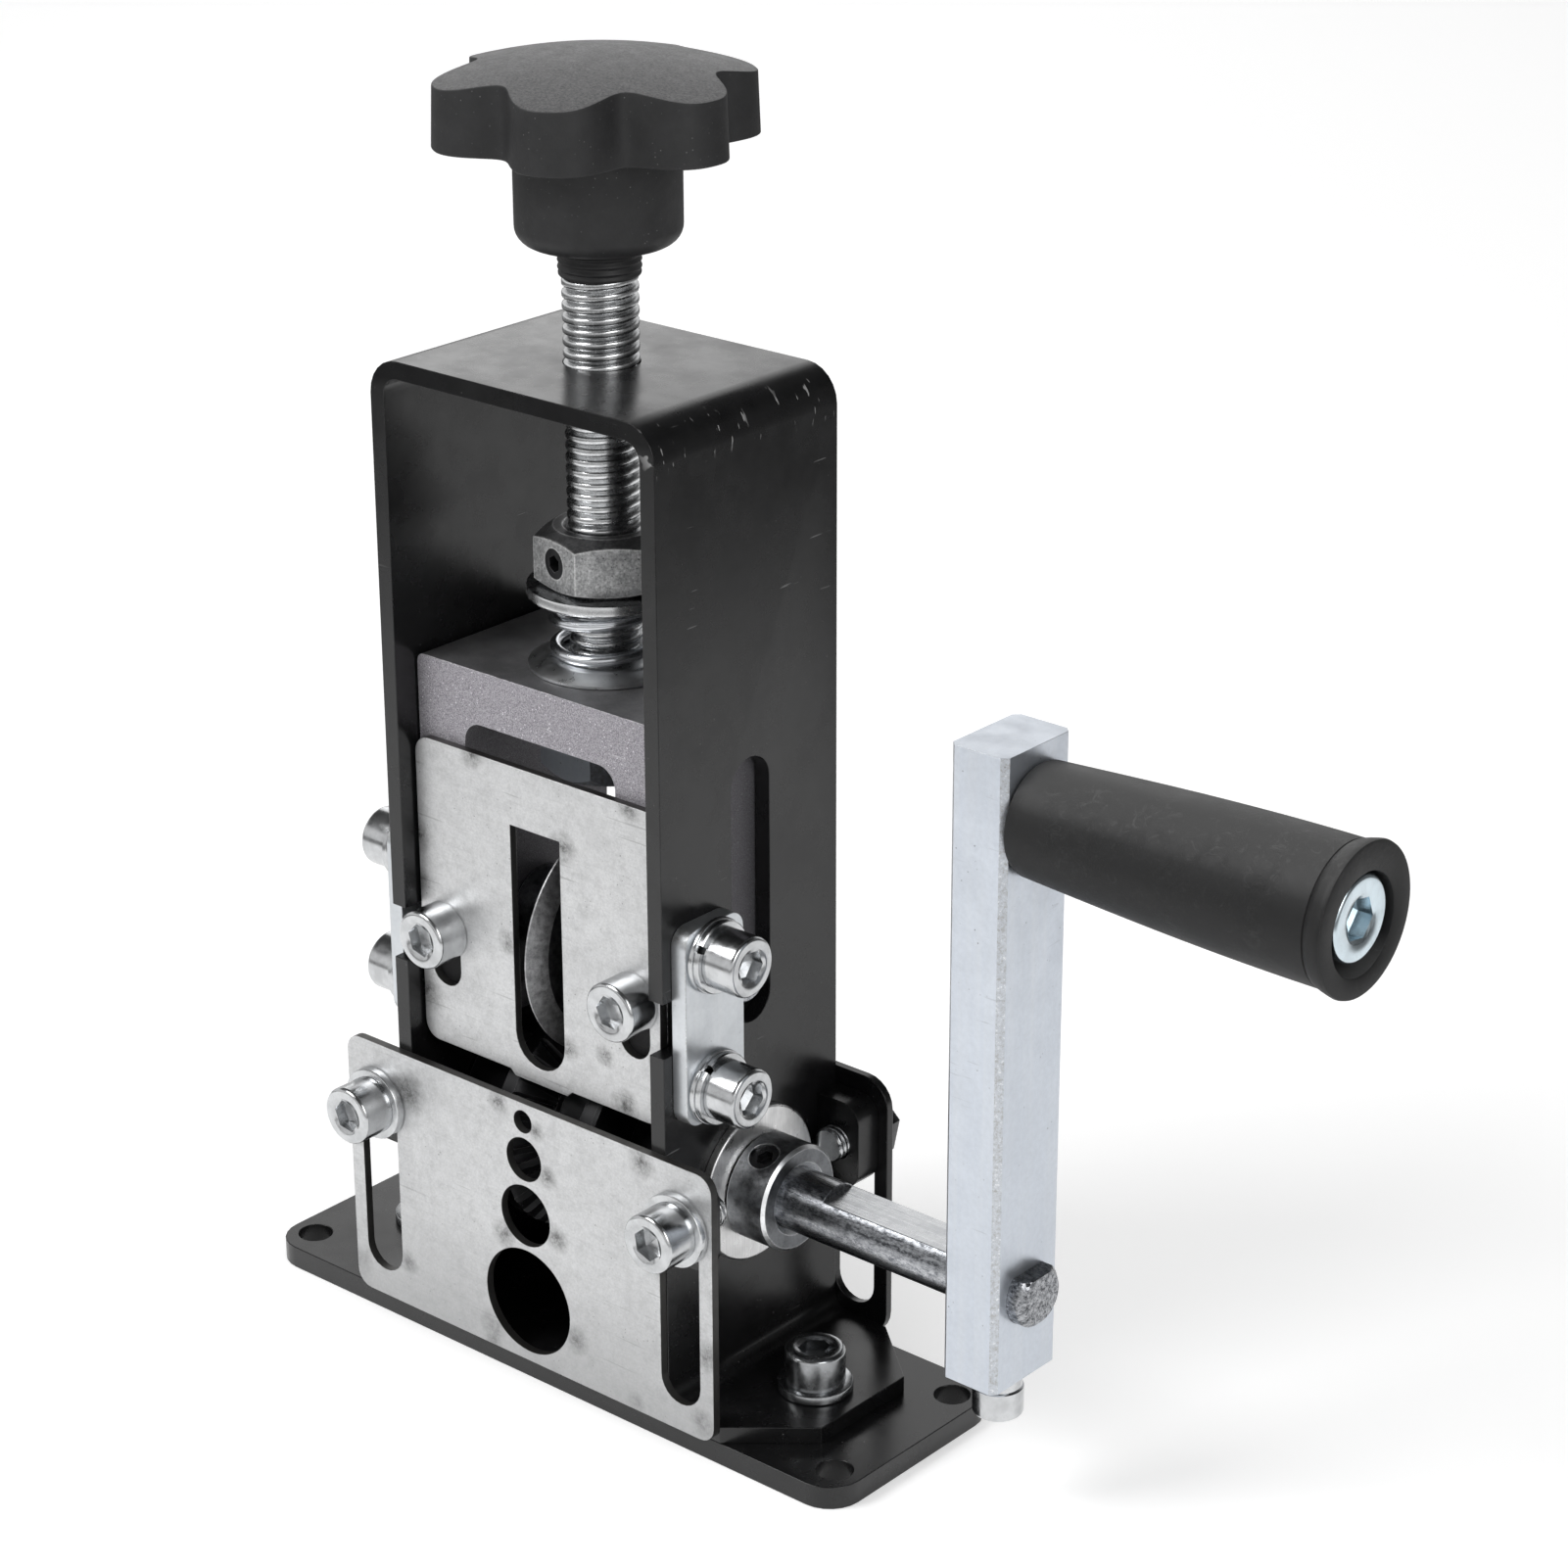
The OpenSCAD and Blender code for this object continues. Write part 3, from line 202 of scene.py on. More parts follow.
def black_paint(name):
    """Glossy black powder coat: dust, fine scratches, pale edges that are partly worn paint and partly a painted
    highlight, and chips along the roof's bend.
    """
    f = Finish(name)
    broken = f.both(f.band(f.noise(240, 6, 0.9), 0.50, 0.60), f.band(f.noise(30, 2), 0.44, 0.56, 0.25, 1.0))
    mouth = f.band(f.reach((0, 0, 0), (0, 1, 0)), (FRAME_RIM - 0.3) * MM, FRAME_RIM * MM)
    # mask of the pale edges: partly worn paint, partly a painted highlight along the rounded edges
    worn_and_lit_edges = f.both(f.math("MAXIMUM", f.edges(0.30 * MM, 0.06, 0.28), f.both(mouth, f.rims((0, 1, 0)))), broken)
    dust = f.specks(620, 0.035, 0.075, f.noise(55, 3, 0.7), 0.50, 0.66)
    hair = f.noise(1.0, 2, 0.4, f.mapped((90, 90, 1400), (0.5, 0.35, 0.6)))
    scratch = f.both(f.band(hair, 0.735, 0.76), f.band(f.noise(38, 2, place=f.mapped(shift=(3, 1, 2))), 0.52, 0.62))
    f.colour = f.mix(f.band(f.noise(300, 4, 0.6), 0.3, 0.7), (0.0050, 0.0050, 0.0053), (0.0085, 0.0085, 0.0090))
    f.coat((0.38, 0.38, 0.37), dust, 0.45)
    f.coat((0.30, 0.30, 0.30), scratch, 0.35)
    # pale edges, partly worn paint and partly a painted highlight
    f.coat((0.42, 0.42, 0.42), worn_and_lit_edges, 0.7)
    bend = f.band(f.reach(ROOF_BEND, (1, 0, 1)), 3.0 * MM, 5.5 * MM, 1.0, 0.0)
    strokes = f.both(f.band(f.noise(1.0, 2, 0.5, f.mapped((300, 1300, 300))), 0.65, 0.675),
                     f.band(f.noise(120, 2), 0.42, 0.50))
    f.coat((0.34, 0.34, 0.34), bend, strokes, 0.8)
    peel = f.bump(f.noise(330, 2, 0.5), 0.10, 0.05 * MM)
    grain = f.bump(f.noise(2600, 2), 0.06, 0.03 * MM, peel)
    rough = f.band(f.noise(90, 4, 0.65), 0.3, 0.72, 0.20, 0.34)
    high_up = f.band(f.reach((0, 0, 0), (0, 0, 1)), (ROOF_Z - 2) * MM, ROOF_Z * MM)
    roof_edge = f.both(f.facing((0, -1, 0), 0.5, 0.8), high_up)
    return f.finish(rough, 0.0, grain, f.band(roof_edge, 0, 1, 0.5, 0.2))


def sheet_zinc(name, tint, face, stains, shade_below=None):
    """Matt plated sheet: fine mottle, scratches, dark smudges and dark cut edges, and painted shade that darkens it
    below a height if given.
    """
    f = Finish(name)
    dark = shade(tint, 0.5)
    fine = f.noise(2600, 5, 0.8)
    mottle = f.noise(520, 6, 0.72)
    cloud = f.noise(70, 4, 0.65)
    f.colour = f.mix(f.band(fine, 0.34, 0.66), shade(tint, 0.86), shade(tint, 1.10))
    f.coat(dark, f.band(mottle, 0.48, 0.68), 0.22)
    f.coat(dark, f.band(cloud, 0.45, 0.72), 0.12)
    drawn = f.noise(1.0, 3, 0.6, f.mapped((60, 60, 2600)))
    f.coat(dark, f.band(drawn, 0.50, 0.72), 0.14)
    pits = f.specks(760, 0.05, 0.12, f.noise(130, 3), 0.48, 0.58)
    f.coat((0.10, 0.10, 0.10), pits, 0.7)
    for slant, shift in (((0.0, 0.55, 0.0), (0, 0, 0)), ((0.0, -0.9, 0.0), (4, 2, 1))):
        line = f.hairs((45, 45, 1500), slant, shift, (0.70, 0.725), 55, (0.50, 0.57), 0.3)
        f.coat(dark, line, 0.5)
    ragged = f.both(f.band(f.noise(1200, 6, 0.85), 0.34, 0.56, 0.25, 1.0), f.band(mottle, 0.36, 0.54, 0.5, 1.0))
    f.coat((0.045, 0.044, 0.042), f.spots(face, stains, ragged), 0.85)
    f.coat((0.12, 0.12, 0.12), f.edges(0.35 * MM, 0.02, 0.25), f.band(mottle, 0.40, 0.55, 0.1, 0.8))
    # painted shade: the sheet is darkened towards the bottom, below the given height
    if shade_below is not None:
        f.coat(dark, f.band(f.reach((0, 0, 0), (0, 0, 1)), 0, shade_below * MM, 0.7, 0.0))
    sides = f.cut_faces((0, 1, 0))
    f.coat((0.035, 0.033, 0.030), sides, 0.93)
    grain = f.bump(fine, 0.30, 0.04 * MM)
    rough = f.band(f.noise(260, 4), 0.3, 0.7, 0.38, 0.52)
    return f.finish(rough, 0.82, grain)


def blue_zinc(name, tint):
    """Satin blue-white plating on bar stock: pits, faint drawn lines, painted shade on the faces that look up, and
    mottled corners with painted highlight flecks.
    """
    f = Finish(name)
    cloud = f.noise(38, 4, 0.55)
    fine = f.noise(1100, 5, 0.7)
    f.colour = f.mix(f.band(fine, 0.32, 0.68), shade(tint, 0.95), shade(tint, 1.05))
    f.coat(shade(tint, 0.82), f.band(cloud, 0.4, 0.7), 0.22)
    drawn = f.noise(1.0, 3, 0.5, f.mapped((900, 900, 22)))
    f.coat((0.80, 0.80, 0.78), f.band(drawn, 0.42, 0.72), 0.12)
    pits = f.specks(620, 0.04, 0.11, f.noise(120, 3, 0.7), 0.47, 0.60)
    f.coat((0.14, 0.14, 0.15), pits, 0.75)
    for slant, shift in (((0.5, 0.9, 0.0), (0, 0, 0)), ((-0.7, -0.5, 0.4), (3, 1, 2))):
        line = f.hairs((120, 120, 1500), slant, shift, (0.715, 0.75), 70, (0.53, 0.62))
        f.coat((0.24, 0.25, 0.27), line, 0.25)
    # painted shade: faces that look up are darkened
    f.coat(shade(tint, 0.55), f.facing((0, 0, 1), 0.7, 0.95), 0.35)
    corner = f.math("MAXIMUM", f.rims((1, 0, 0)), f.rims((0, 1, 0)))
    fleck = f.noise(1500, 4, 0.85)
    f.coat((0.34, 0.33, 0.31), corner, f.band(fleck, 0.36, 0.50, 0.8, 0.25))
    # painted highlight: bright flecks along the corner rims
    f.coat((0.95, 0.95, 0.95), corner, f.band(fleck, 0.58, 0.64, 0.0, 0.6))
    grain = f.bump(fine, 0.18, 0.05 * MM)
    rough = f.band(f.noise(200, 4), 0.3, 0.7, 0.28, 0.40)
    return f.finish(rough, 0.88, grain)


def bright_zinc(name, tint=(0.60, 0.61, 0.62), rough=(0.15, 0.27), stain=0.22, shaded_behind=None, relief=0.07,
                shaded_top=0.0):
    """Bright plating on turned screws and washers, with a few dark flecks and a painted highlight along its edges.
    Where asked, painted shade darkens it behind a depth or on the faces that look up."""
    f = Finish(name)
    marks = f.noise(300, 4, 0.6)
    f.colour = f.mix(f.band(marks, 0.40, 0.66), tint, shade(tint, 1.0 - stain))
    fleck = f.specks(1400, 0.05, 0.12, f.noise(420, 3), 0.52, 0.60)
    f.coat((0.08, 0.08, 0.085), fleck, 0.65)
    # painted highlight: a pale line along the edges
    f.coat((0.95, 0.95, 0.95), f.edges(0.18 * MM), 0.35)
    # painted shade: faces that look up are darkened
    if shaded_top:
        f.coat((0.05, 0.055, 0.06), f.facing((0, 0, 1), 0.25, 0.7), shaded_top)
    # painted shade: everything behind the given depth is darkened nearly black
    if shaded_behind is not None:
        depth = f.node("ShaderNodeSeparateXYZ", {"Vector": f.place}).outputs["Y"]
        behind = f.band(depth, (shaded_behind - 0.1) * MM, (shaded_behind + 0.1) * MM)
        f.coat((0.022, 0.022, 0.023), behind)
    grain = f.bump(f.noise(900, 4, 0.6), relief, 0.05 * MM)
    return f.finish(f.band(f.noise(500, 5, 0.65), 0.32, 0.70, *rough), 1.0, grain)


def brushed_disc(name, tint):
    """Plated disc with straight brushed lines."""
    f = Finish(name)
    lines = f.noise(1.0, 4, 0.7, f.mapped((400, 2600, 160), (0.55, 0, 0)))
    f.colour = f.mix(f.band(lines, 0.38, 0.64), shade(tint, 0.86), tint)
    f.coat(shade(tint, 0.6), f.band(f.noise(300, 4), 0.5, 0.7), 0.3)
    grain = f.bump(lines, 0.22, 0.04 * MM)
    return f.finish(f.band(f.noise(500, 4), 0.3, 0.7, 0.24, 0.40), 0.95, grain)


def mottled_steel(name, tint):
    """Dull, patchy turned steel with painted highlights on its corners and darker end faces."""
    f = Finish(name)
    patch = f.noise(420, 6, 0.8)
    f.colour = f.mix(f.band(patch, 0.36, 0.64), shade(tint, 0.35), tint)
    ends = f.math("SUBTRACT", 1.0, f.cut_faces((1, 0, 0)))
    f.coat((0.06, 0.065, 0.07), ends, 0.65)
    # painted highlight: bright rings on the chamfers and rims
    ring = f.math("MAXIMUM", f.edges(0.55 * MM, 0.02, 0.16), f.rims((1, 0, 0)))
    f.coat((0.90, 0.91, 0.92), ring, f.band(patch, 0.3, 0.5, 0.55, 1.0))
    grain = f.bump(f.noise(1500, 4, 0.7), 0.25, 0.05 * MM)
    return f.finish(f.band(patch, 0.3, 0.7, 0.26, 0.42), 1.0, grain)


def drawn_shaft(name):
    """Ground shaft: fine grain along its length, its own speckle with a painted dark reflection beside the flat,
    painted shade on its underside, dark at its end.
    """
    f = Finish(name)
    along = f.noise(1.0, 4, 0.6, f.mapped((26, 1500, 1500)))
    speck = f.noise(1500, 5, 0.85, f.mapped((0.55, 1, 1)))
    f.colour = f.mix(f.band(speck, 0.36, 0.62), (0.10, 0.11, 0.13), (0.62, 0.63, 0.65))
    flat = f.facing((0, 0, 1), 0.93, 0.99)
    even = f.mix(f.band(f.noise(420, 5, 0.7), 0.35, 0.65), (0.47, 0.48, 0.495), (0.58, 0.59, 0.60))
    f.coat(even, flat)
    # painted reflection: a dark band, with the shaft's own speckle, along the round beside the flat
    under = f.facing((0, -0.80, 0.60), 0.80, 0.93)
    speckled_dark_reflection = f.mix(f.band(speck, 0.42, 0.60), (0.02, 0.022, 0.026), (0.30, 0.31, 0.33))
    f.coat(speckled_dark_reflection, under, 0.9)
    # painted shade: the underside is darkened
    beneath = f.facing((0, -0.25, -0.97), 0.45, 0.80)
    f.coat((0.03, 0.033, 0.038), beneath, 0.8)
    f.coat((0.40, 0.41, 0.43), f.band(along, 0.42, 0.62), 0.3)
    end = f.band(f.reach((SHAFT_END_X, 0, 0), (1, 0, 0)), 2.7 * MM, 3.1 * MM, 1.0, 0.0)
    sawn = f.mix(f.band(speck, 0.40, 0.6), (0.02, 0.022, 0.025), (0.42, 0.43, 0.45))
    f.coat(sawn, end, 0.8)
    grain = f.bump(speck, 0.30, 0.05 * MM)
    return f.finish(f.band(along, 0.3, 0.7, 0.22, 0.34), 1.0, grain)


def nut_zinc(name):
    """Dull plated nut: scratched grey flats, painted shade on its top and chamfers, painted highlights along its
    edges.
    """
    f = Finish(name)
    grains = f.noise(2100, 5, 0.8)
    f.colour = f.mix(f.band(grains, 0.36, 0.64), (0.26, 0.263, 0.267), (0.78, 0.785, 0.79))
    f.coat((0.16, 0.163, 0.167), f.band(f.noise(360, 6, 0.8), 0.46, 0.62), 0.5)
    pits = f.specks(1100, 0.08, 0.17, f.noise(150, 2), 0.46, 0.54)
    f.coat((0.03, 0.03, 0.03), pits)
    # painted shade: the top and its chamfers are darkened
    top = f.facing((0, 0, 1), 0.25, 0.6)
    f.coat((0.06, 0.06, 0.063), top, 0.85)
    # painted highlight: bright lines along the corners
    f.coat((0.92, 0.92, 0.92), f.edges(0.5 * MM, 0.006, 0.05), f.band(grains, 0.36, 0.52, 0.3, 1.0))
    grain = f.bump(grains, 0.35, 0.05 * MM)
    return f.finish(f.band(f.noise(400, 4), 0.3, 0.7, 0.34, 0.52), 0.9, grain)


def blasted_steel(name):
    """Sparkling grit-blasted block: its top smooth with a painted dark reflection, painted shade on its sides and
    inside, a near-black band from the guard screws' height down, and painted highlight flecks on its front and back
    rims.
    """
    f = Finish(name)
    grit = f.noise(5200, 3, 0.85)
    flake = f.cells(4200)
    f.colour = f.mix(f.band(grit, 0.36, 0.64), (0.19, 0.18, 0.20), (0.62, 0.60, 0.64))
    glint = f.specks(1350, 0.10, 0.22, f.noise(240, 3), 0.40, 0.54)
    f.coat((0.90, 0.89, 0.92), glint, 0.9)
    for slant, shift in (((0.3, 0.8, 0.2), (0, 0, 0)), ((0.3, -0.6, 0.2), (2, 5, 1))):
        line = f.hairs((110, 110, 1900), slant, shift, (0.70, 0.74), 90, (0.50, 0.60))
        f.coat((0.85, 0.84, 0.86), line, 0.35)
    # painted reflection: the smooth top is darkened, as the dark frame above would mirror in it; its smoothness is
    # real
    top = f.facing((0, 0, 1), 0.6, 0.9)
    smooth = f.mix(f.band(f.noise(120, 5, 0.7), 0.35, 0.68), (0.15, 0.15, 0.153), (0.27, 0.27, 0.28))
    f.coat(smooth, top, 0.92)
    # painted shade: the sides and inside, all but the front and the top, are darkened
    front = f.facing((0, -1, 0), 0.4, 0.8)
    shaded_sides = f.math("SUBTRACT", f.math("SUBTRACT", 1.0, front), top)
    f.coat(f.mix(grit, (0.030, 0.030, 0.032), (0.16, 0.155, 0.165)), f.band(shaded_sides, 0, 1), 0.80)
    # a near-black band across the block, from the guard screws' height down about 12 mm
    near_black_band = f.band(f.reach((0, 0, GUARD_SCREW_Z - 6.0), (0, 0, 1)), 6.2 * MM, 8.0 * MM, 1.0, 0.0)
    f.coat((0.010, 0.010, 0.010), near_black_band, 0.96)
    # painted highlight: bright flecks along the rims of the front and back faces
    rim = f.both(f.rims((0, 1, 0)), f.band(f.noise(1500, 4, 0.8), 0.42, 0.52))
    f.coat((0.90, 0.89, 0.92), rim, 0.85)
    coarse = f.bump(grit, 0.8, 0.07 * MM)
    rough = f.math("MULTIPLY", f.band(flake, 0.05, 0.3, 0.40, 0.62), f.band(top, 0, 1, 1.0, 0.72))
    return f.finish(rough, 0.72, coarse)


def blade_steel(name):
    """Dark hardened steel with a paler ground edge."""
    f = Finish(name)
    patch = f.noise(900, 5, 0.8)
    f.colour = f.mix(f.band(patch, 0.38, 0.62), (0.030, 0.030, 0.032), (0.065, 0.065, 0.068))
    ground = f.band(f.reach(BLADE_AXLE, (0, 1, 1)), (BLADE_BEVEL_START - 0.05) * MM, (BLADE_BEVEL_START + 0.05) * MM)
    bevel = f.mix(f.band(patch, 0.38, 0.62), (0.26, 0.26, 0.265), (0.50, 0.50, 0.51))
    f.coat(bevel, ground)
    pits = f.specks(1300, 0.06, 0.14, f.noise(200, 2), 0.48, 0.58)
    f.coat((0.05, 0.05, 0.05), pits, 0.6)
    grain = f.bump(patch, 0.2, 0.04 * MM)
    return f.finish(f.band(patch, 0.3, 0.7, 0.34, 0.50), 0.85, grain)


def black_oxide(name):
    """Blackened steel, rubbed bright along its edges."""
    f = Finish(name)
    grain = f.noise(1200, 4, 0.65)
    f.colour = f.mix(f.band(f.noise(200, 4), 0.35, 0.65), (0.010, 0.010, 0.011), (0.028, 0.028, 0.030))
    worn = f.both(f.edges(0.16 * MM, 0.06, 0.3), f.band(f.noise(700, 4, 0.7), 0.36, 0.56))
    f.coat((0.58, 0.58, 0.58), worn, 0.8)
    return f.finish(f.band(f.noise(300, 4), 0.3, 0.7, 0.26, 0.42), 0.55, f.bump(grain, 0.2, 0.05 * MM))


def matt_rubber(name):
    """Matt black rubber with faint scuffs, and painted light on its upper side, where the scuffs are also shown more
    strongly.
    """
    f = Finish(name)
    grain = f.noise(1700, 4, 0.7)
    cloud = f.noise(70, 5, 0.7)
    f.colour = f.mix(f.band(cloud, 0.35, 0.68), (0.0050, 0.0050, 0.0053), (0.0115, 0.0115, 0.0120))
    crinkle = f.noise(420, 6, 0.85, distortion=1.4)
    patches = f.band(f.noise(75, 3, 0.6), 0.44, 0.60)
    scuff = f.both(f.band(crinkle, 0.54, 0.62), patches)
    # painted light: the upper side is lightened, and its scuffs shown more strongly
    upper = f.facing((0, 0, 1), 0.46, 0.90)
    f.coat((0.082, 0.082, 0.082), upper, 0.8)
    f.coat((0.150, 0.150, 0.150), scuff, f.math("ADD", f.both(upper, 0.32), 0.09))
    f.coat((0.05, 0.05, 0.05), f.edges(0.35 * MM, 0.05, 0.3), 0.4)
    skin = f.bump(crinkle, f.both(patches, 0.85), 0.14 * MM)
    return f.finish(f.band(cloud, 0.3, 0.7, 0.48, 0.62), 0.0, f.bump(grain, 0.40, 0.05 * MM, skin), 0.36)


def moulded_plastic(name):
    """Moulded black plastic: fine sandy grain, dust and flow marks, with painted light making the faces that look up
    paler.
    """
    f = Finish(name)
    grain = f.noise(2300, 3, 0.65)
    f.colour = f.mix(f.band(f.noise(130, 4, 0.65), 0.35, 0.66), (0.0105, 0.0105, 0.0112), (0.0190, 0.0190, 0.0200))
    # painted light: the faces that look up are paler, with a sandy grain
    top = f.facing((0, 0, 1), 0.6, 0.95)
    sandy_and_lit = f.mix(f.band(f.noise(2300, 5, 0.85), 0.36, 0.64), (0.054, 0.054, 0.055), (0.170, 0.170, 0.172))
    f.coat(sandy_and_lit, top)
    dust = f.specks(1000, 0.06, 0.14, f.noise(170, 3), 0.46, 0.62)
    f.coat((0.30, 0.30, 0.30), dust, 0.3)
    f.coat((0.030, 0.030, 0.030), f.edges(0.8 * MM, 0.02, 0.2), 0.5)
    flow = f.noise(1.0, 3, 0.5, f.mapped((320, 320, 18)))
    relief = f.bump(flow, 0.12, 0.10 * MM)
    grit = f.bump(grain, 0.40, 0.07 * MM, relief)
    return f.finish(f.band(f.noise(420, 4), 0.3, 0.7, 0.50, 0.62), 0.0, grit)


# Places and sizes that several pieces share, in millimetres
GUARD_FACE, GUIDE_FACE, REAR_FACE = -17.9, -22.5, 22.5
FOOT_X, FOOT_Y, FOOT_TOP = 44.5, -1.5, 7.0
LUG_X, LUG_Z = 34, 41.5
GUARD_SCREW_X, GUARD_SCREW_Z = 21, 75.4
STRAP_FACE, STRAP_Y, STRAP_Z = 33, -12.4, (62.4, 85.2)
SHAFT_Z, SHAFT_RADIUS = 39.5, 5.25
CLAMP_SEAT = (80.85, 0, 21.2)
HANDLE_START, HANDLE_LENGTH, HANDLE_Z, POCKET_DEPTH = 86.3, 56.5, 118.8, 9.5
FRAME_RIM, ROOF_Z = 21.5, 169.0
ROOF_BEND = (31.5, 0, ROOF_Z)
SHAFT_END_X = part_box("drive_shaft")[1][0] / MM
BLADE_AXLE, BLADE_BEVEL_START = (0, 0, 75.5), 17.0

# Cap screws by their thread: half widths, and the hexagon that is drilled into the head
M5 = {"radius": 2.5, "head_radius": 4.1, "head_height": 5.0, "across": 4.0, "depth": 2.5, "pitch": 0.8}
M6 = {"radius": 3.0, "head_radius": 5.0, "head_height": 6.0, "across": 5.0, "depth": 2.4, "pitch": 1.0}
M8 = {"radius": 4.0, "head_radius": 6.6, "head_height": 8.9, "across": 6.0, "depth": 2.8, "pitch": 1.25}
WASHER_RADIUS, WASHER_BORE, WASHER_HEIGHT, STRAP_WASHER_HEIGHT = 6.25, 3.3, 1.6, 1.0

# Dark contact marks on the guard plate and the guide plate, as (x, z, radius)
GUARD_STAINS = (
    (6.2, 97.6, 3.4), (-6.6, 77.5, 2.6), (6.4, 62.5, 2.6), (-13.5, 108.4, 3.0), (20.5, 108.2, 3.0), (-26.2, 91, 3.4),
    (-26.3, 83, 2.6), (-26.0, 63, 4.2), (18.6, 56.2, 3.4), (14.5, 63.6, 2.4), (25.8, 66.0, 2.2),
)
GUIDE_STAINS = (
    (-27.0, 45.5, 5.0), (-5.5, 50.8, 2.6), (26.2, 50.4, 3.2), (3.0, 48.2, 2.2), (5.2, 40.5, 2.6), (7.0, 29.8, 3.0),
    (-5.0, 26.6, 3.2), (10.8, 12.4, 3.2), (-8.4, 8.0, 3.4), (40.0, 20.0, 3.4), (38.6, 7.6, 3.0), (-28.4, 12.6, 2.6),
    (29.0, 34.4, 4.4), (24.0, 5.6, 2.4), (-39.6, 34, 3.0), (-8.5, 5.2, 2.2), (-40.0, 9.0, 3.0),
)

FINISHES = {node: look for look, nodes in (
    (black_paint("satin_black_paint"), "base_plate frame front_lugs rear_lugs rear_plate"),
    (sheet_zinc("guard_zinc", (0.67, 0.675, 0.68), GUARD_FACE, GUARD_STAINS), "guard_plate"),
    (sheet_zinc("guide_zinc", (0.63, 0.635, 0.64), GUIDE_FACE, GUIDE_STAINS, 28), "guide_plate"),
    (bright_zinc("bright_zinc"),
     "strap_screws strap_washers guide_screws guide_washers guard_screws clamp_screw clamp_washer"),
    (bright_zinc("washer_zinc", (0.88, 0.89, 0.90), (0.22, 0.32), 0.12, relief=0.01, shaded_top=0.75), "upper_washer"),
    (bright_zinc("lower_washer_zinc", (0.78, 0.79, 0.80), (0.26, 0.36), 0.15, relief=0.01, shaded_top=0.15),
     "lower_washer"),
    (bright_zinc("spring_wire", (0.72, 0.74, 0.77), (0.18, 0.26), 0.10, relief=0.01), "pressure_spring"),
    (bright_zinc("thread_zinc", (0.74, 0.75, 0.76), (0.20, 0.32), 0.35), "pressure_screw"),
    (bright_zinc("handle_bolt_zinc", (0.62, 0.71, 0.76), (0.16, 0.26), 0.15), "handle_bolt"),
    (bright_zinc("foot_zinc", (0.42, 0.43, 0.44), (0.18, 0.30), 0.30), "foot_screws foot_washers"),
    (bright_zinc("rear_bolt_zinc", stain=0.25, shaded_behind=REAR_FACE - 0.1), "rear_bolts"),
    (blue_zinc("blue_white_zinc", (0.60, 0.64, 0.70)), "retaining_nut crank_arm"),
    (blue_zinc("strap_zinc", (0.62, 0.645, 0.67)), "side_straps"),
    (brushed_disc("brushed_disc", (0.84, 0.84, 0.84)), "shaft_bushes"),
    (mottled_steel("mottled_steel", (0.42, 0.43, 0.45)), "blade_spacers shaft_collars"),
    (drawn_shaft("drawn_shaft"), "blade_axle drive_shaft"),
    (nut_zinc("dull_nut_zinc"), "pressing_nut"),
    (blasted_steel("blasted_steel"), "blade_block"),
    (blade_steel("hardened_steel"), "stripping_blade"),
    (black_oxide("black_oxide"), "nut_grub feed_wheel collar_screws"),
    (matt_rubber("matt_black_rubber"), "crank_handle"),
    (moulded_plastic("moulded_black_plastic"), "star_knob"),
) for node in nodes.split()}


# Pieces

def mesh_from(bm, name):
    """A mesh with this shape; the bmesh is freed."""
    mesh = bpy.data.meshes.new(name)
    bm.to_mesh(mesh)
    bm.free()
    return mesh


def put(name, data):
    """A new object in the scene."""
    made = bpy.data.objects.new(name, data)
    bpy.context.scene.collection.objects.link(made)
    return made


def make_piece(bm, node, width=0.0, segments=2, angle=32):
    """Turns a bmesh into a piece that stands for a CAD node, smooth but for its sharp edges."""
    bmesh.ops.recalc_face_normals(bm, faces=bm.faces)
    for face in bm.faces:
        face.smooth = True
        face.material_index = 0
    for edge in bm.edges:
        edge.smooth = len(edge.link_faces) == 2 and edge.calc_face_angle(0) < math.radians(angle)
    piece = put(node + "_skin", mesh_from(bm, node + "_skin"))
    piece.data.materials.append(FINISHES[node])
    if width:
        bevel = piece.modifiers.new("rounded_edges", "BEVEL")
        bevel.limit_method = "ANGLE"
        bevel.angle_limit = math.radians(angle)
        bevel.width = width * MM
        bevel.segments = segments
        bevel.profile = 0.5
        bevel.harden_normals = True
        bevel.use_clamp_overlap = True
    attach(piece, BODY_OF[node])
    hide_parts(node)
    return piece


def cad_copy(node):
    """The CAD node as one clean shell, ready for rounding."""
    bm = bmesh.new()
    bm.from_mesh(NODES[node].data)
    bmesh.ops.remove_doubles(bm, verts=bm.verts, dist=0.002 * MM)
    bmesh.ops.dissolve_limit(bm, angle_limit=math.radians(0.4), verts=bm.verts, edges=bm.edges)
    return bm


def chain(bm, points):
    """A line of edges through (radius, height) points in the XZ plane, in millimetres."""
    verts = [bm.verts.new((radius * MM, 0, height * MM)) for radius, height in points]
    return verts, [bm.edges.new(pair) for pair in zip(verts, verts[1:])]


def everything(bm):
    return bm.verts[:] + bm.edges[:] + bm.faces[:]


def swept(bm, geometry, steps, angle=FULL_TURN, rise=0.0, merge=False):
    """Turns geometry about +Z, lifting it by a rise in metres at every step; its last copy is returned."""
    return bmesh.ops.spin(bm, geom=geometry, cent=(0, 0, 0), axis=(0, 0, 1), dvec=(0, 0, rise), angle=angle,
                          steps=steps, use_merge=merge)["geom_last"]


def turned(points, steps=64):
    """A closed shape turned about +Z from a line of (radius, height) points in millimetres."""
    bm = bmesh.new()
    verts, edges = chain(bm, points)
    swept(bm, verts + edges, steps, merge=True)
    bmesh.ops.remove_doubles(bm, verts=bm.verts, dist=0.0005 * MM)
    return bm


